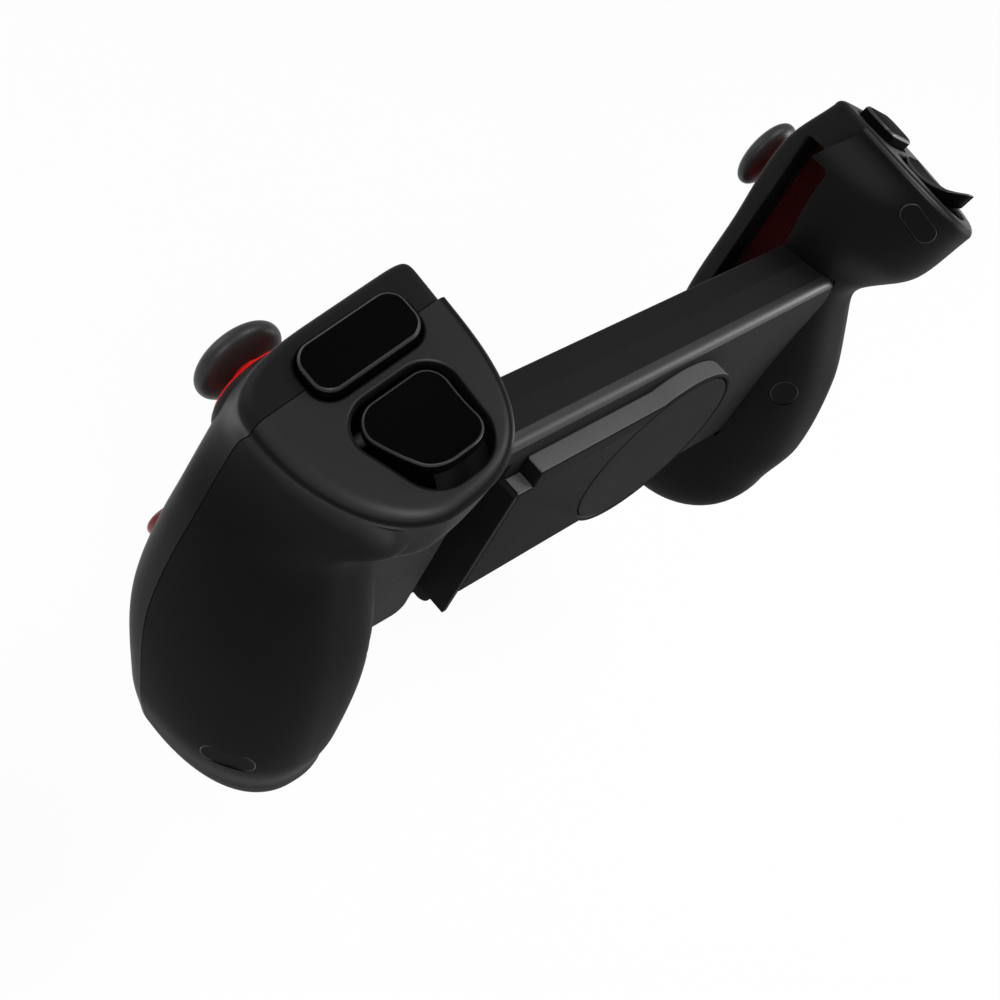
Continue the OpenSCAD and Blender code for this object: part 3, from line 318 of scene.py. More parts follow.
def half_shell(front):
    """Hollow half of the grip: an outer skin, an inner skin, their end caps and the seam between them.

    The outer skin stands off the seam and the inner skin meets it, so the seam is a groove that closes
    inwards.
    """
    edge_z = TOP - EDGE * (1.0 - np.sin(EDGE_TURNS))
    body_z = np.linspace(SECTIONS[0, 0], TAIL_Z, BODY_RINGS)
    tail_z = TAIL_Z + (TAIL_END - TAIL_Z) * np.sin(TAIL_TURNS)
    z = np.concatenate([edge_z, body_z, tail_z])[:, None]
    angle = np.linspace(*(FRONT_ARC if front else REAR_ARC), ARC_STEPS + 1)
    shift = [0.0, -SEAM_GAP / 2 if front else SEAM_GAP / 2, 0.0]
    lift = WALL * (1.0 - 2.0 * (z - TAIL_END) / (TOP - TAIL_END))
    outer = skin(z, angle) + shift
    inner = skin(z, angle, WALL, BAND, lift)
    rows = len(z)
    columns = ARC_STEPS + 1
    base = rows * columns
    last = (rows - 1) * columns
    quads = grid_faces(rows, columns)
    i = np.arange(rows - 1) * columns
    seams = []
    for j in (0, ARC_STEPS):
        strip = np.stack([i + j, i + columns + j, i + columns + j + base, i + j + base], -1)
        seams.append(strip if j == 0 else strip[:, ::-1])
    row = np.arange(columns)[None, :]
    head = np.array([[0, base, base + ARC_STEPS, ARC_STEPS]])
    foot = np.array([[last + ARC_STEPS, last + base + ARC_STEPS, last + base, last]])
    faces = [quads, (quads + base)[:, ::-1], *seams, row[:, ::-1], row + last, row + base,
             (row + last + base)[:, ::-1], head, foot]
    return np.concatenate([outer.reshape(-1, 3), inner.reshape(-1, 3)]), faces


def stack_solid(rings):
    """Closed solid through rings of equal length, from the first to the last."""
    rings = np.asarray(rings, float)
    count, size = rings.shape[:2]
    row = np.arange(size)[None, :]
    faces = [grid_faces(count, size, True), row[:, ::-1], row + (count - 1) * size]
    return rings.reshape(-1, 3), faces


def rounded_outline(length, width, radius, steps=10):
    """Rectangle with round corners: four quarter circles about the corner centres."""
    turn = np.radians(np.linspace(0.0, 90.0, steps + 1))[None, :] + QUARTERS[:, None]
    sign_x = np.array([1, -1, -1, 1])[:, None]
    sign_y = np.array([1, 1, -1, -1])[:, None]
    x = sign_x * (length / 2 - radius) + radius * np.cos(turn)
    y = sign_y * (width / 2 - radius) + radius * np.sin(turn)
    return np.stack([x.ravel(), y.ravel()], -1)


def circle_outline(diameter, steps=64):
    """Points evenly round a circle."""
    turn = np.linspace(0.0, 2 * np.pi, steps, endpoint=False)
    return diameter / 2 * np.stack([np.cos(turn), np.sin(turn)], -1)


def cross_outline(length, width, radius):
    """Cross with round outer corners: one arm's end carried round by four quarter turns."""
    corner = np.radians(np.linspace(0.0, 90.0, 7))
    arc_x = length / 2 - radius + radius * np.cos(corner)
    arc_y = width / 2 - radius + radius * np.sin(corner)
    tip_x = np.concatenate([arc_x[::-1], arc_x, [width / 2]])
    tip_y = np.concatenate([-arc_y[::-1], arc_y, [width / 2]])
    turn = QUARTERS[:, None]
    x = np.cos(turn) * tip_x - np.sin(turn) * tip_y
    y = np.sin(turn) * tip_x + np.cos(turn) * tip_y
    return np.stack([x.ravel(), y.ravel()], -1)


def even_steps(outline, count=180):
    """Closed outline walked at even steps of its own length."""
    closed = np.concatenate([outline, outline[:1]])
    length = np.concatenate([[0.0], np.cumsum(np.linalg.norm(np.diff(closed, axis=0), axis=1))])
    at = np.linspace(0.0, length[-1], count, endpoint=False)
    return np.stack([np.interp(at, length, closed[:, k]) for k in (0, 1)], -1)


def trigger_outline(gap=0.0, rear=0.0):
    """Hull of four circles: at each direction, the point of the circle that reaches furthest that way."""
    front_r = 4.0
    tip_r = 5.0
    wide = TRIGGER_WIDTH / 2 - front_r
    slim = TRIGGER_TIP / 2 - tip_r
    back = TRIGGER_LEN - tip_r + rear
    centres = np.array([[wide, front_r], [slim - TRIGGER_SHIFT, back],
                        [-slim - TRIGGER_SHIFT, back], [-wide, front_r]])
    radii = np.array([front_r, tip_r, tip_r, front_r]) + gap
    turn = np.linspace(0.0, 2 * np.pi, 360, endpoint=False)
    way = np.stack([np.cos(turn), np.sin(turn)], -1)
    best = np.argmax(way @ centres.T + radii, axis=1)
    return even_steps(centres[best] + radii[best, None] * way)


def shoulder_axes():
    """Directions of the shoulder frame: u outwards, v rearwards and w square to the face."""
    tilt = math.radians(TILT)
    lean = math.radians(LEAN)
    along_u = [math.cos(tilt), 0.0, -math.sin(tilt)]
    along_v = [-math.sin(lean) * math.sin(tilt), math.cos(lean), -math.sin(lean) * math.cos(tilt)]
    along_w = [math.cos(lean) * math.sin(tilt), math.sin(lean), math.cos(lean) * math.cos(tilt)]
    return np.array([along_u, along_v, along_w])


def on_shoulder(u, v, w):
    """Points of the shoulder frame in the grip's own millimetres."""
    u, v, w = np.broadcast_arrays(u, v, w)
    return np.array([0.0, TURN_Y, TOP]) + np.stack([u, v, w], -1) @ shoulder_axes()


def on_front(outline, x, z, depth):
    """Flat outline placed on the front of the grip, facing the player, at a depth y."""
    return np.stack([x + outline[:, 0], np.full(len(outline), depth), z + outline[:, 1]], -1)


def revolve_front(profile, x, z, steps=96):
    """Profile of radius and depth y turned about an axis along y through x and z.

    The rings follow the profile from its first point to its last.
    """
    profile = np.asarray(profile, float)
    turn = np.linspace(0.0, 2 * np.pi, steps, endpoint=False)
    ring_x = x + profile[:, :1] * np.cos(turn)
    ring_z = z + profile[:, :1] * np.sin(turn)
    ring_y = np.broadcast_to(profile[:, 1:], ring_x.shape)
    return stack_solid(np.stack([ring_x, ring_y, ring_z], -1))


def flare(depth, out, radius):
    """Offsets and heights of a pocket wall that rounds over a quarter circle into the face at height 0."""
    turn = np.radians(np.linspace(0.0, 80.0, 6))
    offsets = radius * (1.0 - np.cos(turn))
    heights = -radius + radius * np.sin(turn)
    offsets = np.concatenate([[0.0], offsets, [offsets[-1]]])
    return offsets, np.concatenate([[-depth], heights, [out]])


def new_object(name, points, faces, side=0):
    """Object from arrays; side 1 or -1 places grip points, the left being the mirror image."""
    points = np.asarray(points, float)
    if side:
        points = (points + [GRIP_X, 0.0, 0.0]) * [side, 1.0, 1.0]
    listed = [face for group in faces for face in group.tolist()]
    mesh = bpy.data.meshes.new(name)
    mesh.from_pydata((points * MM).tolist(), [], listed)
    shape = bmesh.new()
    shape.from_mesh(mesh)
    bmesh.ops.recalc_face_normals(shape, faces=shape.faces)
    shape.to_mesh(mesh)
    shape.free()
    made = bpy.data.objects.new(name, mesh)
    scene.collection.objects.link(made)
    return made


def combine(piece, others, operation):
    """Cuts closed shapes out of a piece, or joins them to it, and keeps the resulting mesh."""
    for other in others:
        step = piece.modifiers.new(other.name, "BOOLEAN")
        step.operation = operation
        step.solver = "MANIFOLD"
        step.object = other
    shaped = bpy.data.meshes.new_from_object(piece.evaluated_get(bpy.context.evaluated_depsgraph_get()))
    piece.modifiers.clear()
    piece.data = shaped
    for other in others:
        bpy.data.objects.remove(other)


def finish_piece(piece, body, finish, stands_for, sharp=32.0):
    """Finish, smooth shading with crisp edges, body and the CAD nodes that the piece stands for."""
    mesh = piece.data
    mesh.materials.clear()
    mesh.materials.append(finish)
    mesh.polygons.foreach_set("material_index", np.zeros(len(mesh.polygons), np.int32))
    mesh.shade_smooth()
    mesh.set_sharp_from_angle(angle=math.radians(sharp))
    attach(piece, body)
    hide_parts(*stands_for)


def refined(node, name, width, finish, edge=None):
    """Merged copy of a CAD node with its edges rounded by a bevel, which stands for the node.

    The bevel takes the edge finish where one is given, such as the key rim's lighter colour as a painted
    highlight.
    """
    shape = bmesh.new()
    shape.from_mesh(nodes[node].data)
    bmesh.ops.remove_doubles(shape, verts=shape.verts, dist=MERGE)
    flat = math.radians(FLAT_WITHIN)
    bmesh.ops.dissolve_limit(shape, angle_limit=flat, verts=shape.verts, edges=shape.edges)
    mesh = bpy.data.meshes.new(name)
    shape.to_mesh(mesh)
    shape.free()
    piece = bpy.data.objects.new(name, mesh)
    scene.collection.objects.link(piece)
    bevel = piece.modifiers.new("edges", "BEVEL")
    bevel.width = width * MM
    bevel.segments = BEVEL_STEPS
    bevel.limit_method = "ANGLE"
    bevel.angle_limit = math.radians(BEVEL_OVER)
    bevel.harden_normals = True
    finish_piece(piece, nodes[node]["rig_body"], finish, (node,), sharp=40.0)
    if edge:
        mesh.materials.append(edge)
        bevel.material = 1
    return piece


def face_rows(piece, label):
    """Centres or normals of a piece's faces, one row each."""
    values = np.empty(len(piece.data.polygons) * 3)
    piece.data.polygons.foreach_get(label, values)
    return values.reshape(-1, 3)


def second_finish(piece, finish, chosen):
    """Gives the chosen faces a second finish."""
    piece.data.materials.append(finish)
    piece.data.polygons.foreach_set("material_index", chosen.astype(np.int32))


# Materials


def surface_group():
    """Moulded grain: fine noise for height, broad noise for colour, both for roughness."""
    group = bpy.data.node_groups.new("moulded_grain", "ShaderNodeTree")
    number = "NodeSocketFloat"
    colour = "NodeSocketColor"
    takes = {"Place": "NodeSocketVector", "Fine": number, "Broad": number, "Dark": colour, "Light": colour,
             "Smooth": number, "Rough": number}
    gives = {"Colour": colour, "Roughness": number, "Height": number}
    for way, sockets in (("INPUT", takes), ("OUTPUT", gives)):
        for label, kind in sockets.items():
            group.interface.new_socket(label, in_out=way, socket_type=kind)
    start = group.nodes.new("NodeGroupInput")
    end = group.nodes.new("NodeGroupOutput")
    fine = group.nodes.new("ShaderNodeTexNoise")
    fine.inputs["Detail"].default_value = 4.0
    fine.inputs["Roughness"].default_value = 0.6
    broad = group.nodes.new("ShaderNodeTexNoise")
    broad.inputs["Detail"].default_value = 3.0
    mix = group.nodes.new("ShaderNodeMix")
    mix.data_type = "RGBA"
    both = group.nodes.new("ShaderNodeMath")
    both.operation = "ADD"
    spread = group.nodes.new("ShaderNodeMapRange")
    spread.inputs["From Min"].default_value = 0.7
    spread.inputs["From Max"].default_value = 1.3
    link = group.links.new
    link(start.outputs["Place"], fine.inputs["Vector"])
    link(start.outputs["Place"], broad.inputs["Vector"])
    link(start.outputs["Fine"], fine.inputs["Scale"])
    link(start.outputs["Broad"], broad.inputs["Scale"])
    link(broad.outputs["Fac"], mix.inputs["Factor"])
    link(start.outputs["Dark"], mix.inputs["A"])
    link(start.outputs["Light"], mix.inputs["B"])
    link(fine.outputs["Fac"], both.inputs[0])
    link(broad.outputs["Fac"], both.inputs[1])
    link(both.outputs["Value"], spread.inputs["Value"])
    link(start.outputs["Smooth"], spread.inputs["To Min"])
    link(start.outputs["Rough"], spread.inputs["To Max"])
    link(mix.outputs["Result"], end.inputs["Colour"])
    link(spread.outputs["Result"], end.inputs["Roughness"])
    link(fine.outputs["Fac"], end.inputs["Height"])
    return group


GRAIN = surface_group()
# Way that a face turns to mirror the lamps into view, on either side, and how nearly a surface faces it; a
# gloss coat laid there is a painted sheen
SHEEN_WAY = (0.60, 0.32, 0.73)
SHEEN_FACING = (0.82, 0.97)
# Heights over which the painted sheen sets in
SHEEN_FROM = (30.0, 44.0)


def painted_sheen_weight(tree, place, painted_sheen):
    """Coat weight of a painted sheen: its strength, times how nearly a surface faces the way that mirrors
    the lamps, times how high it is.
    """
    surface = tree.nodes.new("ShaderNodeNewGeometry")
    either_side = tree.nodes.new("ShaderNodeVectorMath")
    either_side.operation = "ABSOLUTE"
    facing = tree.nodes.new("ShaderNodeVectorMath")
    facing.operation = "DOT_PRODUCT"
    facing.inputs[1].default_value = SHEEN_WAY
    sheen_mask = tree.nodes.new("ShaderNodeMapRange")
    sheen_mask.interpolation_type = "SMOOTHSTEP"
    sheen_mask.inputs["From Min"].default_value = SHEEN_FACING[0]
    sheen_mask.inputs["From Max"].default_value = SHEEN_FACING[1]
    sheen_mask.inputs["To Max"].default_value = painted_sheen
    parts = tree.nodes.new("ShaderNodeSeparateXYZ")
    high = tree.nodes.new("ShaderNodeMapRange")
    high.inputs["From Min"].default_value = SHEEN_FROM[0] * MM
    high.inputs["From Max"].default_value = SHEEN_FROM[1] * MM
    weight = tree.nodes.new("ShaderNodeMath")
    weight.operation = "MULTIPLY"
    link = tree.links.new
    link(surface.outputs["Normal"], either_side.inputs[0])
    link(either_side.outputs["Vector"], facing.inputs[0])
    link(facing.outputs["Value"], sheen_mask.inputs["Value"])
    link(place, parts.inputs["Vector"])
    link(parts.outputs["Z"], high.inputs["Value"])
    link(sheen_mask.outputs["Result"], weight.inputs[0])
    link(high.outputs["Result"], weight.inputs[1])
    return weight.outputs["Value"]


def material(name, dark, light, rough, fine=2600.0, broad=60.0, bump=0.12, painted_sheen=0.0, **constants):
    """Principled surface with its own grain values; constants go straight on the shader's sockets.

    Painted sheen is the weight of a coat laid where the surface faces the way that mirrors the lamps: a
    painted highlight, not wear.
    """
    made = bpy.data.materials.new(name)
    made.use_nodes = True
    tree = made.node_tree
    shader = tree.nodes["Principled BSDF"]
    place = tree.nodes.new("ShaderNodeTexCoord").outputs["Object"]
    grain = tree.nodes.new("ShaderNodeGroup")
    grain.node_tree = GRAIN
    height = tree.nodes.new("ShaderNodeBump")
    height.inputs["Strength"].default_value = bump
    height.inputs["Distance"].default_value = 0.0001
    grain.inputs["Fine"].default_value = fine
    grain.inputs["Broad"].default_value = broad
    grain.inputs["Dark"].default_value = (*dark, 1.0)
    grain.inputs["Light"].default_value = (*light, 1.0)
    grain.inputs["Smooth"].default_value = rough[0]
    grain.inputs["Rough"].default_value = rough[1]
    link = tree.links.new
    link(place, grain.inputs["Place"])
    link(grain.outputs["Colour"], shader.inputs["Base Color"])
    link(grain.outputs["Roughness"], shader.inputs["Roughness"])
    link(grain.outputs["Height"], height.inputs["Height"])
    link(height.outputs["Normal"], shader.inputs["Normal"])
    for label, value in constants.items():
        shader.inputs[label.replace("_", " ")].default_value = value
    if painted_sheen:
        link(painted_sheen_weight(tree, place, painted_sheen), shader.inputs["Coat Weight"])
    if "Emission_Strength" in constants:
        link(grain.outputs["Colour"], shader.inputs["Emission Color"])
    return made


def grey(level):
    """Neutral colour of one level."""
    return (level, level, level)


# The shell's coat is laid only where the lamps mirror into view: a painted sheen.
SATIN = material("satin_shell", grey(0.006), grey(0.009), (0.50, 0.60), painted_sheen=0.6, Coat_Roughness=0.40,
                 Specular_IOR_Level=0.03)
SATIN_FRONT = material("satin_front", grey(0.006), grey(0.009), (0.40, 0.50), Specular_IOR_Level=0.09)
SATIN_TRAY = material("satin_tray", grey(0.008), grey(0.012), (0.55, 0.68), Specular_IOR_Level=0.06)
SATIN_BACK = material("satin_back", grey(0.011), grey(0.016), (0.66, 0.78), Specular_IOR_Level=0.05)
# The bridge back's rounded top edge is painted lighter than its faces: a painted highlight.
BACK_EDGE_PAINTED_HIGHLIGHT = material("back_edge_painted_highlight", grey(0.020), grey(0.028), (0.36, 0.44), Specular_IOR_Level=0.18)
SATIN_COVER = material("satin_cover", grey(0.006), grey(0.009), (0.70, 0.82), Specular_IOR_Level=0.04)
# The cover's upward faces are painted much lighter than the cover: a painted highlight of the lamps.
COVER_WALL_PAINTED_HIGHLIGHT = material("cover_wall", grey(0.078), grey(0.096), (0.50, 0.62), Specular_IOR_Level=0.20)
DARK_TRIM = material("dark_trim", grey(0.004), grey(0.007), (0.60, 0.72), Specular_IOR_Level=0.06)
DISC_FACE = material("disc_face", grey(0.009), grey(0.013), (0.70, 0.82), Specular_IOR_Level=0.04)
GLOSS = material("gloss_key", grey(0.002), grey(0.003), (0.40, 0.50), fine=900.0, bump=0.01,
                 Specular_IOR_Level=0.002)
# Lighter rim colour of the glossy keys and oval covers: a painted highlight.
KEY_RIM_PAINTED_HIGHLIGHT = material("key_rim_painted_highlight", grey(0.018), grey(0.026), (0.30, 0.40), bump=0.03, Specular_IOR_Level=0.30)
SOFT_CAP = material("soft_thumb_cap", grey(0.014), grey(0.021), (0.38, 0.50), fine=3400.0, bump=0.2,
                    Specular_IOR_Level=0.30)
MENU_KEY = material("menu_key", grey(0.016), grey(0.024), (0.35, 0.48), Specular_IOR_Level=0.30)
ACTION_KEY = material("action_key", (0.16, 0.010, 0.007), (0.22, 0.016, 0.010), (0.18, 0.28), bump=0.05)
GLOW = material("glowing_ring", (0.70, 0.003, 0.002), (0.90, 0.006, 0.003), (0.40, 0.52),
                Specular_IOR_Level=0.10, Emission_Strength=0.25)
# Red, glowing colour of the cap's neck: painted light from the ring
NECK_PAINTED_GLOW = material("neck_painted_glow", (0.50, 0.003, 0.002), (0.66, 0.006, 0.003), (0.40, 0.52),
                    Specular_IOR_Level=0.10, Emission_Strength=0.15)
RED_RUBBER = material("red_lining", (0.030, 0.001, 0.001), (0.045, 0.002, 0.002), (0.50, 0.66), fine=1800.0,
                      bump=0.3, Specular_IOR_Level=0.05)
HOUSING = material("grey_housing", grey(0.030), grey(0.045), (0.45, 0.60))
STEEL = material("spring_steel", grey(0.52), grey(0.62), (0.24, 0.36), fine=1500.0, bump=0.05, Metallic=1.0)
BOARD = material("board_lacquer", (0.010, 0.085, 0.035), (0.016, 0.120, 0.050), (0.25, 0.38), broad=420.0)
KEYPAD = material("keypad_rubber", grey(0.055), grey(0.075), (0.55, 0.70))
CABLE = material("amber_film", (0.42, 0.20, 0.035), (0.52, 0.26, 0.050), (0.28, 0.40))
CELL = material("cell_wrap", (0.035, 0.050, 0.075), (0.050, 0.066, 0.095), (0.30, 0.44))

NODE_FINISH = {
    "light_ring": GLOW, "stick_base": HOUSING, "stick_yoke": STEEL, "stick_arm": STEEL,
    "stick_cap": SOFT_CAP, "bumper": GLOSS, "trigger": GLOSS, "trigger_pin": HOUSING,
    "trigger_spring": STEEL, "board": BOARD, "keypad": KEYPAD, "screw_covers": DARK_TRIM,
    "cross_ball": STEEL, "cross_pad": MENU_KEY, "select_button": MENU_KEY, "turbo_button": MENU_KEY,
    "start_button": MENU_KEY, "home_button": MENU_KEY, "top_button": ACTION_KEY,
    "outer_button": ACTION_KEY, "bottom_button": ACTION_KEY, "inner_button": ACTION_KEY,
    "jaw_pad": RED_RUBBER, "front_shell": SATIN, "rear_shell": SATIN, "bridge_tray": SATIN_TRAY,
    "bridge_back": SATIN_BACK, "rear_cover": SATIN_COVER, "boss_disc": DISC_FACE, "end_plate": DARK_TRIM,
    "carriage": SATIN_TRAY, "clamp_springs": STEEL, "link_cable": CABLE, "battery": CELL,
    "charge_socket": STEEL,
}
for name, node in nodes.items():
    finish = NODE_FINISH[name.removeprefix("left_").removeprefix("right_")]
    node.data.materials.clear()
    node.data.materials.append(finish)


# Grips


def paint_rim_highlight(piece, side, outline, width):
    """Paints a highlight: faces within a width of the outline that face out of the shoulder take the rim's
    lighter colour.
    """
    axes = shoulder_axes()
    flip = np.array([side, 1.0, 1.0])
    local = (face_rows(piece, "center") / MM * flip - [GRIP_X, TURN_Y, TOP]) @ axes.T
    facing = (face_rows(piece, "normal") * flip) @ axes[2]
    away = np.linalg.norm(local[:, None, :2] - outline[None, :, :], axis=2).min(axis=1)
    second_finish(piece, KEY_RIM_PAINTED_HIGHLIGHT, (away < width) & (facing > HIGHLIGHT_RIM_FACING))


def pocket(name, outline_at, depth, out, radius, place, side):
    """Pocket cutter: an outline that grows as its mouth rounds over, placed at each height."""
    offsets, heights = flare(depth, out, radius)
    rings = [place(outline_at(o), h) for o, h in zip(offsets, heights)]
    return new_object(name, *stack_solid(rings), side)


def bumper_cutter(side):
    """Pocket of the bumper with a softened mouth."""
    def outline_at(grow):
        gap = BUMPER_GAP + grow
        return rounded_outline(BUMPER_LEN + 2 * gap, BUMPER_DEPTH + 2 * gap, BUMPER_ROUND + gap)

    def place(flat, height):
        return on_shoulder(BUMPER_U + flat[:, 0], BUMPER_V + flat[:, 1], height)
    return pocket("bumper_cut", outline_at, BUMPER_POCKET, BUMPER_CLEAR, BUMPER_MOUTH, place, side)


def trigger_cutter(side):
    """Well of the trigger with a softened mouth."""
    def outline_at(grow):
        return trigger_outline(WELL_GAP + grow, WELL_REAR)

    def place(flat, height):
        return on_shoulder(TRIGGER_U + flat[:, 0], TRIGGER_V + flat[:, 1], height)
    return pocket("trigger_cut", outline_at, WELL_DEPTH, WELL_CLEAR, WELL_MOUTH, place, side)


def slot_cutter(side):
    """Phone slot: a rounded rectangle along x whose mouth rounds over at the inner face."""
    middle_y = -SLOT_WIDTH / 2
    middle_z = (SLOT_LOW + SLOT_HIGH) / 2

    def outline_at(grow):
        return rounded_outline(SLOT_WIDTH + 2 * grow, SLOT_HIGH - SLOT_LOW + 2 * grow, SLOT_CORNER + grow)

    def place(flat, height):
        return np.stack([np.full(len(flat), -height), middle_y + flat[:, 0], middle_z + flat[:, 1]], -1)
    return pocket("slot_cut", outline_at, SLOT_DEPTH, SLOT_CLEAR, SLOT_MOUTH, place, side)


def front_cutter(name, outline_at, x, z, rear, radius, face, side):
    """Opening for a key of the front, from a depth y to beyond the face, with a softened mouth."""
    def place(flat, height):
        return on_front(flat, x, z, face - height)
    return pocket(name, outline_at, rear - face, KEY_CLEAR, radius, place, side)


def oval_place(oval):
    """Middle of an oval cover on the skin, its outward normal, and the directions up and round the grip."""
    z, angle = oval[:2]
    middle = skin(z, angle)
    up = skin(z + 0.5, angle) - skin(z - 0.5, angle)
    round_way = skin(z, angle + 0.5) - skin(z, angle - 0.5)
    normal = np.cross(round_way, up)
    normal = normal / np.linalg.norm(normal)
    up = up / np.linalg.norm(up)
    return middle, normal, up, np.cross(normal, up)


def oval_cutter(oval, side):
    """Shallow seat of an oval cover, square to the skin."""
    middle, normal, up, across = oval_place(oval)
    flat = rounded_outline(oval[2] + OVAL_GAP, oval[3] + OVAL_GAP, oval[3] / 2 + OVAL_CORNER, steps=12)
    base = middle + flat[:, :1] * across + flat[:, 1:] * up
    rings = [base - OVAL_SEAT * normal, base + OVAL_CLEAR * normal]
    return new_object("oval_cut", *stack_solid(rings), side)


def bridge_cutter(side):
    """Seat of the bridge's end in the left grip, or of the carriage root in the right one."""
    low = np.array(SEAT_LOW[side])
    high = np.array(SEAT_HIGH[side])
    size = high - low
    flat = rounded_outline(size[0], size[1], SEAT_ROUND, steps=3) + (low[:2] + high[:2]) / 2
    rings = [np.column_stack([flat, np.full(len(flat), z)]) for z in (low[2], high[2])]
    return new_object("bridge_cut", *stack_solid(rings), side)


def stick_cutter(side):
    """Seat of the stick, turned: its hole, a ball's room for the dome and the step of the light ring."""
    hole = STICK_HOLE_D / 2
    ring = RING_D / 2 + RING_GAP
    room = DOME_R + DOME_GAP
    swing = np.radians(np.linspace(*DOME_SWING, 10))
    dome = np.column_stack([room * np.cos(swing), STICK_Y - room * np.sin(swing)])
    back, front = STICK_CUT
    seat = [(hole, back), *dome, (hole, RING_BACK), (ring, RING_BACK), (ring, front)]
    return new_object("stick_cut", *revolve_front(seat, STICK_X, STICK_Z), side)


def button_hole(grow):
    """Outline of an action button's hole."""
    return circle_outline(BUTTON_D + BUTTON_GAP + 2 * grow)


def cross_hole(grow):
    """Outline of the direction cross's opening."""
    gap = CROSS_GAP + 2 * grow
    return cross_outline(CROSS_LEN + gap, CROSS_WIDTH + gap, CROSS_ROUND)


def menu_hole(grow):
    """Outline of a menu button's hole."""
    return rounded_outline(MENU_LEN + 2 * grow, MENU_WIDTH + 2 * grow, MENU_ROUND + grow)


def key_cutters(side):
    """Openings of the front: four buttons on the right or the cross on the left, then two menu buttons."""
    cuts = []
    if side > 0:
        for turn in QUARTERS:
            x = FIELD_X + FIELD_R * math.cos(turn)
            z = FIELD_Z + FIELD_R * math.sin(turn)
            cuts.append(front_cutter("button_cut", button_hole, x, z, KEY_POCKET, BUTTON_MOUTH,
                                     KEY_FACE, side))
    else:
        cuts.append(front_cutter("cross_cut", cross_hole, FIELD_X, FIELD_Z, KEY_POCKET, CROSS_MOUTH,
                                 KEY_FACE, side))
    for x in MENU_X:
        cuts.append(front_cutter("menu_cut", menu_hole, x, MENU_Z, MENU_POCKET, MENU_MOUTH,
                                 MENU_FACE, side))
    return cuts


def make_shells(side):
    """Front and rear mouldings of one grip with their openings."""
    label = SIDE_NAME[side]
    front = new_object(label + "_front_moulding", *half_shell(True), side)
    rear = new_object(label + "_rear_moulding", *half_shell(False), side)
    collar = np.array(COLLAR) + [COLLAR_RIM, COLLAR_FRONT]
    combine(front, [new_object("collar", *revolve_front(collar, STICK_X, STICK_Z), side)], "UNION")
    cuts = [slot_cutter(side), bumper_cutter(side), stick_cutter(side)]
    cuts.extend([*key_cutters(side), bridge_cutter(side)])
    combine(front, cuts, "DIFFERENCE")
    cuts = [slot_cutter(side), bumper_cutter(side), trigger_cutter(side), bridge_cutter(side)]
    cuts.extend(oval_cutter(oval, side) for oval in OVALS)
    combine(rear, cuts, "DIFFERENCE")
    finish_piece(front, BODY[side], SATIN_FRONT, (label + "_front_shell",))
    finish_piece(rear, BODY[side], SATIN, (label + "_rear_shell",))


def make_bumper(side):
    """Bumper: a rounded plan raised to a soft top edge and a slightly crowned top."""
    turn = np.radians(np.linspace(0.0, 90.0, 9))
    soft = BUMPER_SOFT
    insets = np.concatenate([[0.0], soft * (1.0 - np.cos(turn))])
    heights = np.concatenate([[-BUMPER_BODY], BUMPER_RISE - soft + soft * np.sin(turn)])
    rings = []
    for inset, height in zip(insets, heights):
        length = BUMPER_LEN - 2 * inset
        depth = BUMPER_DEPTH - 2 * inset
        flat = even_steps(rounded_outline(length, depth, BUMPER_ROUND - inset, steps=14))
        rings.append(on_shoulder(BUMPER_U + flat[:, 0], BUMPER_V + flat[:, 1], height))
    for share in (0.85, 0.65, 0.45, 0.25, 0.08):
        crown = BUMPER_RISE + BUMPER_CROWN * (1.0 - share**2)
        rings.append(on_shoulder(BUMPER_U + share * flat[:, 0], BUMPER_V + share * flat[:, 1], crown))
    piece = new_object(SIDE_NAME[side] + "_bumper_key", *stack_solid(rings), side)
    body = nodes[SIDE_NAME[side] + "_bumper"]["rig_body"]
    finish_piece(piece, body, GLOSS, (SIDE_NAME[side] + "_bumper",), sharp=60.0)
    outline = rounded_outline(BUMPER_LEN, BUMPER_DEPTH, BUMPER_ROUND, steps=14)
    outline = even_steps(outline, OUTLINE_POINTS)
    # A band along the bumper's rim is painted lighter: a painted highlight.
    paint_rim_highlight(piece, side, outline + [BUMPER_U, BUMPER_V], BUMPER_HIGHLIGHT_LINE)


def pin_tube(name, radius, start, end, web, side):
    """Round bar along the trigger's pin from one u to another, with softened ends.

    A web rises from the bar's middle where its height is above the bar.
    """
    turn = np.linspace(0.0, 2 * np.pi, PIN_STEPS, endpoint=False)
    v = radius * np.cos(turn)
    w = radius * np.sin(turn)
    w = np.where((np.abs(v) < WEB_HALF) & (w > 0), np.maximum(w, web), w)
    soft = np.array([PIN_SOFT, 0.0, 0.0, PIN_SOFT])
    along = np.array([start, start + PIN_SOFT, end - PIN_SOFT, end])
    rings = [on_shoulder(np.full(PIN_STEPS, u), PIN_V + v * (1 - s / radius), PIN_W + w * (1 - s / radius))
             for u, s in zip(along, soft)]
    return new_object(name, *stack_solid(rings), side)


def trigger_hubs(side):
    """The two lengths of hub on the pin, with the coil's gap between them."""
    web = -PIN_W - WEB_SHORT
    start = TRIGGER_U - TRIGGER_WIDTH / 2 + HUB_INSET
    end = TRIGGER_U + TRIGGER_WIDTH / 2 - HUB_INSET
    coil = end - COIL_INSET - COIL_LEN
    return [pin_tube("hub", HUB_D / 2, start, coil - COIL_GAP, web, side),
            pin_tube("hub_tail", HUB_D / 2, coil + COIL_LEN + COIL_GAP, end, web, side)]


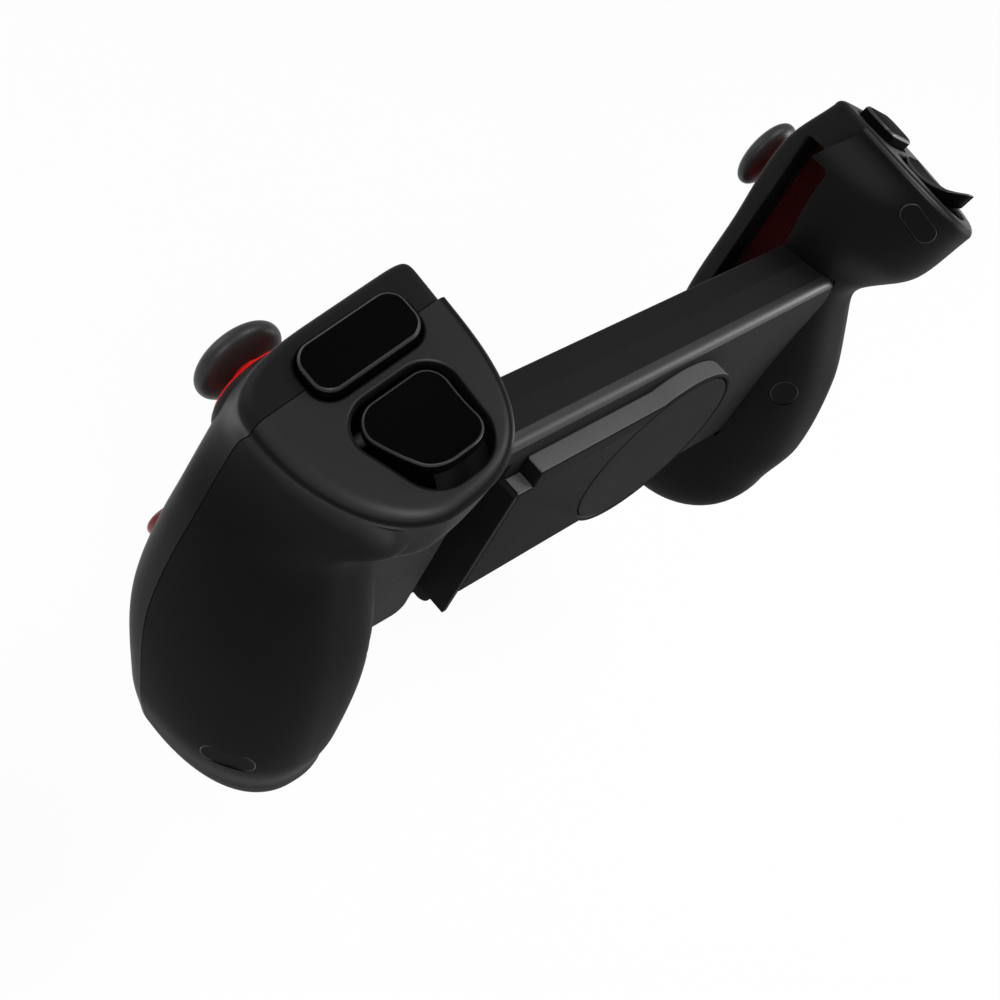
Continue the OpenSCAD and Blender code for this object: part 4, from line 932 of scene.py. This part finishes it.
def make_trigger(side):
    """Trigger blade: the plan carried between two dished faces, each part of a cylinder along u.

    The rim is softened at the top by a quarter circle and at the bottom by a small step.
    """
    soft = TRIGGER_SOFT
    middle = TRIGGER_MIDDLE
    plan = trigger_outline()

    def level(flat, radius):
        run = flat[:, 1] - DISH_V
        return TRIGGER_DISH - DISH_DROP - np.sqrt(radius**2 - run**2)
    rings = []
    low_r = TRIGGER_DISH + TRIGGER_THICK
    for share in (0.1, 0.4, 0.7, 0.95):
        flat = middle + share * (plan - middle)
        rings.append((flat, level(flat, low_r)))
    rings.append((plan, level(plan, low_r) + TRIGGER_UNDER))
    for angle in np.radians(np.linspace(0.0, 90.0, 7)):
        flat = trigger_outline(-soft * (1.0 - math.cos(angle)))
        rings.append((flat, level(flat, TRIGGER_DISH) + TRIGGER_PROUD - soft * (1.0 - math.sin(angle))))
    rim = trigger_outline(-soft)
    for share in (0.9, 0.75, 0.6, 0.45, 0.3, 0.15, 0.04):
        flat = middle + share * (rim - middle)
        rings.append((flat, level(flat, TRIGGER_DISH) + TRIGGER_PROUD))
    placed = [on_shoulder(TRIGGER_U + f[:, 0], TRIGGER_V + f[:, 1], w) for f, w in rings]
    piece = new_object(SIDE_NAME[side] + "_trigger_blade", *stack_solid(placed), side)
    combine(piece, trigger_hubs(side), "UNION")
    combine(piece, [pin_tube("pin_cut", PIN_BORE / 2, 0.0, PIN_REACH, 0.0, side)], "DIFFERENCE")
    body = nodes[SIDE_NAME[side] + "_trigger"]["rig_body"]
    finish_piece(piece, body, GLOSS, (SIDE_NAME[side] + "_trigger",), sharp=60.0)
    outline = even_steps(trigger_outline(), OUTLINE_POINTS)
    # A band along the trigger's rim is painted lighter: a painted highlight.
    paint_rim_highlight(piece, side, outline + [TRIGGER_U, TRIGGER_V], TRIGGER_HIGHLIGHT_LINE)


def arc(radius, ends, steps):
    """Radius and height of points on a circle about the stick's pivot, between two angles of rise."""
    turn = np.radians(np.linspace(*ends, steps))
    return radius * np.column_stack([np.cos(turn), np.sin(turn)])


def make_cap(side):
    """Thumb cap, turned: a superellipse section with a shallow dish on top, a bored neck and a hollow dome.

    The neck between dome and cap is painted red and glowing: painted light from the ring.
    """
    turn = np.radians(np.linspace(-90.0, 90.0, 40))[1:-1]
    power = 2.0 / CAP_POWER
    radius = CAP_D / 2 * np.cos(turn) ** power
    height = CAP_REACH + CAP_THICK / 2 * np.sign(turn) * np.abs(np.sin(turn)) ** power
    dish = CAP_DISH * np.clip(1.0 - (radius / CAP_DISH_R) ** 2, 0.0, 1.0) ** 2
    height = height - np.where(turn > 0, dish, 0.0)
    rim = np.column_stack([radius, height])[(radius > CAP_UNDER_R) | (turn > 0)]
    inside = arc(DOME_R - DOME_WALL, HOLLOW_ARC, 7)
    skirt = arc(DOME_R, SKIRT_ARC, 10)
    profile = np.concatenate([CAP_BORE, inside, skirt, CAP_NECK, rim])
    profile[:, 1] = STICK_Y - profile[:, 1]
    turned = revolve_front(profile, STICK_X, STICK_Z, steps=112)
    piece = new_object(SIDE_NAME[side] + "_thumb_cap", *turned, side)
    body = nodes[SIDE_NAME[side] + "_stick_cap"]["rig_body"]
    finish_piece(piece, body, SOFT_CAP, (SIDE_NAME[side] + "_stick_cap",), sharp=40.0)
    # The band of the neck round the stick takes the painted red glow of the ring's light.
    centres = face_rows(piece, "center") / MM
    off_axis = np.hypot(centres[:, 0] - side * (GRIP_X + STICK_X), centres[:, 2] - STICK_Z)
    ahead = STICK_Y - centres[:, 1]
    around = (off_axis > PAINTED_GLOW_RADII[0]) & (off_axis < PAINTED_GLOW_RADII[1])
    along = (ahead > PAINTED_GLOW_HEIGHTS[0]) & (ahead < PAINTED_GLOW_HEIGHTS[1])
    second_finish(piece, NECK_PAINTED_GLOW, around & along)


def make_lining(side):
    """Lining of the slot floor: a sheet with a rounded rim whose face carries fine ribs along the slot.

    The rim is a quarter circle of the distance to the border, and the ribs are a cosine across the slot.
    """
    width = SLOT_WIDTH - 2 * PAD_RIM
    length = SLOT_HIGH - SLOT_LOW - 2 * PAD_RIM
    y, z = np.meshgrid(np.linspace(-1.0, 1.0, 61), np.linspace(-1.0, 1.0, 97))
    rim = np.minimum(width / 2 * (1.0 - np.abs(y)), length / 2 * (1.0 - np.abs(z)))
    soft = np.sqrt(np.clip(1.0 - (1.0 - np.clip(rim / PAD_SOFT, 0.0, 1.0)) ** 2, 0.0, 1.0))
    ribs = RIB_HIGH * (0.5 + 0.5 * np.cos(y * np.pi * RIB_WAVES)) * np.clip(rim / RIB_FADE, 0.0, 1.0)
    face = SLOT_DEPTH - (PAD_THICK - RIB_HIGH) * (PAD_EDGE + (1.0 - PAD_EDGE) * soft) - ribs
    side_y = -SLOT_WIDTH / 2 + width / 2 * y
    side_z = (SLOT_LOW + SLOT_HIGH) / 2 + length / 2 * z
    top = np.stack([face, side_y, side_z], -1).reshape(-1, 3)
    back = top.copy()
    back[:, 0] = SLOT_DEPTH
    rows, columns = y.shape
    quads = grid_faces(rows, columns)
    i = np.arange(rows * columns).reshape(rows, columns)
    border = np.concatenate([i[0, :-1], i[:-1, -1], i[-1, :0:-1], i[:0:-1, 0]])
    after = np.roll(border, -1)
    base = rows * columns
    walls = np.stack([border, after, after + base, border + base], -1)
    faces = [quads, (quads + base)[:, ::-1], walls[:, ::-1]]
    piece = new_object(SIDE_NAME[side] + "_slot_lining", np.concatenate([top, back]), faces, side)
    finish_piece(piece, BODY[side], RED_RUBBER, (SIDE_NAME[side] + "_jaw_pad",), sharp=50.0)


for side in (1, -1):
    make_shells(side)
    make_bumper(side)
    make_trigger(side)
    make_cap(side)
    make_lining(side)

# Bridge and keys with softened edges; a normal's parts are its shares of x, y and z
# Least shares of a normal for the faces that get a painted highlight: the back's top edge, then the cover's
# upward faces.
BACK_HIGHLIGHT_FACING = 0.2
COVER_HIGHLIGHT_FACING = 0.55
refined("bridge_tray", "tray_moulding", 0.5, SATIN_TRAY)
back = refined("bridge_back", "bridge_back_moulding", 0.5, SATIN_BACK)
normals = face_rows(back, "normal")
# Faces of the rounded top edge, facing up and back, take the lighter colour: a painted highlight.
second_finish(back, BACK_EDGE_PAINTED_HIGHLIGHT, (normals[:, 1] > BACK_HIGHLIGHT_FACING) & (normals[:, 2] > BACK_HIGHLIGHT_FACING))
cover = refined("rear_cover", "cover_moulding", 0.7, SATIN_COVER)
# Upward faces of the cover take that lighter colour: a painted highlight.
second_finish(cover, COVER_WALL_PAINTED_HIGHLIGHT, face_rows(cover, "normal")[:, 2] > COVER_HIGHLIGHT_FACING)
refined("boss_disc", "boss_plate", 0.4, DISC_FACE)
refined("end_plate", "end_plate_moulding", 0.25, DARK_TRIM)
refined("carriage", "carriage_moulding", 0.5, SATIN_TRAY)
refined("cross_pad", "cross_key", 0.5, MENU_KEY)
# The oval covers' bevelled edges take the lighter rim colour: a painted highlight.
for name in ("left_screw_covers", "right_screw_covers"):
    refined(name, name.replace("screw_covers", "oval_covers"), 0.25, SATIN, edge=KEY_RIM_PAINTED_HIGHLIGHT)
for name in ("top_button", "outer_button", "bottom_button", "inner_button"):
    refined(name, name.replace("button", "action_key"), 0.5, ACTION_KEY)
for name in ("select_button", "turbo_button", "start_button", "home_button"):
    refined(name, name.replace("button", "menu_key"), 0.4, MENU_KEY)


# Studio
FLOOR_Z = -130.0
FLOOR_RADII = (300.0, 2500.0)
FLOOR_STEPS = 96
FLOOR_SHARE = 0.92
FLOOR_LEVEL = 0.9
FILL_LEVEL = 0.18
PALE_LEVEL = 0.62
# Place, power in watts and size of each lamp
LAMPS = {
    "top_softbox": ((-300.0, 250.0, 950.0), 6.0, 500.0),
    "rim_softbox": ((-600.0, 750.0, 280.0), 2.5, 300.0),
    "side_softbox": ((-850.0, 480.0, 40.0), 3.0, 250.0),
    "near_softbox": ((620.0, 480.0, 620.0), 3.4, 400.0),
    "front_softbox": ((500.0, -900.0, 500.0), 4.0, 700.0),
}
CAMERA_PLACE = (221.8, 90.2, 217.6)
CAMERA_TURN = (39.094, -21.511, 136.384)
CAMERA_LENS = 53.4
CAMERA_SENSOR = 36.0


def seen_rays(tree):
    """Mask that is 1 for what the camera, gloss or glass shows and 0 for what lights the object."""
    rays = tree.nodes.new("ShaderNodeLightPath")
    seen = tree.nodes.new("ShaderNodeMath")
    seen.operation = "MAXIMUM"
    through = tree.nodes.new("ShaderNodeMath")
    through.operation = "MAXIMUM"
    tree.links.new(rays.outputs["Is Camera Ray"], seen.inputs[0])
    tree.links.new(rays.outputs["Is Glossy Ray"], seen.inputs[1])
    tree.links.new(seen.outputs["Value"], through.inputs[0])
    tree.links.new(rays.outputs["Is Transmission Ray"], through.inputs[1])
    return through.outputs["Value"]


def make_backdrop():
    """Floor: one flat disc of two rings about the object's middle, with a closed centre."""
    turn = np.linspace(0.0, 2 * np.pi, FLOOR_STEPS, endpoint=False)
    radius = np.array(FLOOR_RADII)[:, None]
    level = np.full((2, FLOOR_STEPS), FLOOR_Z)
    points = np.stack([radius * np.cos(turn), radius * np.sin(turn), level], -1)
    mesh = bpy.data.meshes.new("backdrop")
    faces = [*grid_faces(2, FLOOR_STEPS, True)[:, ::-1].tolist(), list(range(FLOOR_STEPS))]
    mesh.from_pydata((points.reshape(-1, 3) * MM).tolist(), [], faces)
    mesh.shade_smooth()
    made = bpy.data.objects.new("backdrop", mesh)
    scene.collection.objects.link(made)
    paper = bpy.data.materials.new("white_paper")
    paper.use_nodes = True
    tree = paper.node_tree
    tree.nodes.remove(tree.nodes["Principled BSDF"])
    share = tree.nodes.new("ShaderNodeMath")
    share.operation = "MULTIPLY"
    share.inputs[1].default_value = FLOOR_SHARE
    matt = tree.nodes.new("ShaderNodeBsdfDiffuse")
    matt.inputs["Color"].default_value = (*grey(FLOOR_LEVEL), 1.0)
    white = tree.nodes.new("ShaderNodeEmission")
    mix = tree.nodes.new("ShaderNodeMixShader")
    tree.links.new(seen_rays(tree), share.inputs[0])
    tree.links.new(share.outputs["Value"], mix.inputs["Fac"])
    tree.links.new(matt.outputs["BSDF"], mix.inputs[1])
    tree.links.new(white.outputs["Emission"], mix.inputs[2])
    tree.links.new(mix.outputs["Shader"], tree.nodes["Material Output"].inputs["Surface"])
    mesh.materials.append(paper)


def lamp(name, place, power, size):
    """Square soft lamp at a place in millimetres, aimed at the object's middle."""
    data = bpy.data.lights.new(name, "AREA")
    data.energy = power
    data.size = size * MM
    made = bpy.data.objects.new(name, data)
    made.location = Vector(place) * MM
    made.rotation_euler = (-Vector(place)).to_track_quat("-Z", "Y").to_euler()
    scene.collection.objects.link(made)


def make_world():
    """Plain grey surrounding light, which shows paler to the camera, gloss and glass."""
    world = bpy.data.worlds.new("studio")
    scene.world = world
    world.use_nodes = True
    tree = world.node_tree
    fill = tree.nodes["Background"]
    fill.inputs["Color"].default_value = (*grey(FILL_LEVEL), 1.0)
    pale = tree.nodes.new("ShaderNodeBackground")
    pale.inputs["Color"].default_value = (*grey(PALE_LEVEL), 1.0)
    mix = tree.nodes.new("ShaderNodeMixShader")
    tree.links.new(seen_rays(tree), mix.inputs["Fac"])
    tree.links.new(fill.outputs["Background"], mix.inputs[1])
    tree.links.new(pale.outputs["Background"], mix.inputs[2])
    tree.links.new(mix.outputs["Shader"], tree.nodes["World Output"].inputs["Surface"])


def make_camera():
    """Camera at the photograph's place and turn."""
    camera = bpy.data.cameras.new("camera")
    camera.lens = CAMERA_LENS
    camera.sensor_width = CAMERA_SENSOR
    camera.clip_start = 0.01
    camera.clip_end = 10.0
    made = bpy.data.objects.new("camera", camera)
    made.location = Vector(CAMERA_PLACE) * MM
    made.rotation_euler = Euler([math.radians(a) for a in CAMERA_TURN])
    scene.collection.objects.link(made)
    scene.camera = made


make_backdrop()
for name, (place, power, size) in LAMPS.items():
    lamp(name, place, power, size)
make_world()
make_camera()
bpy.context.view_layer.update()
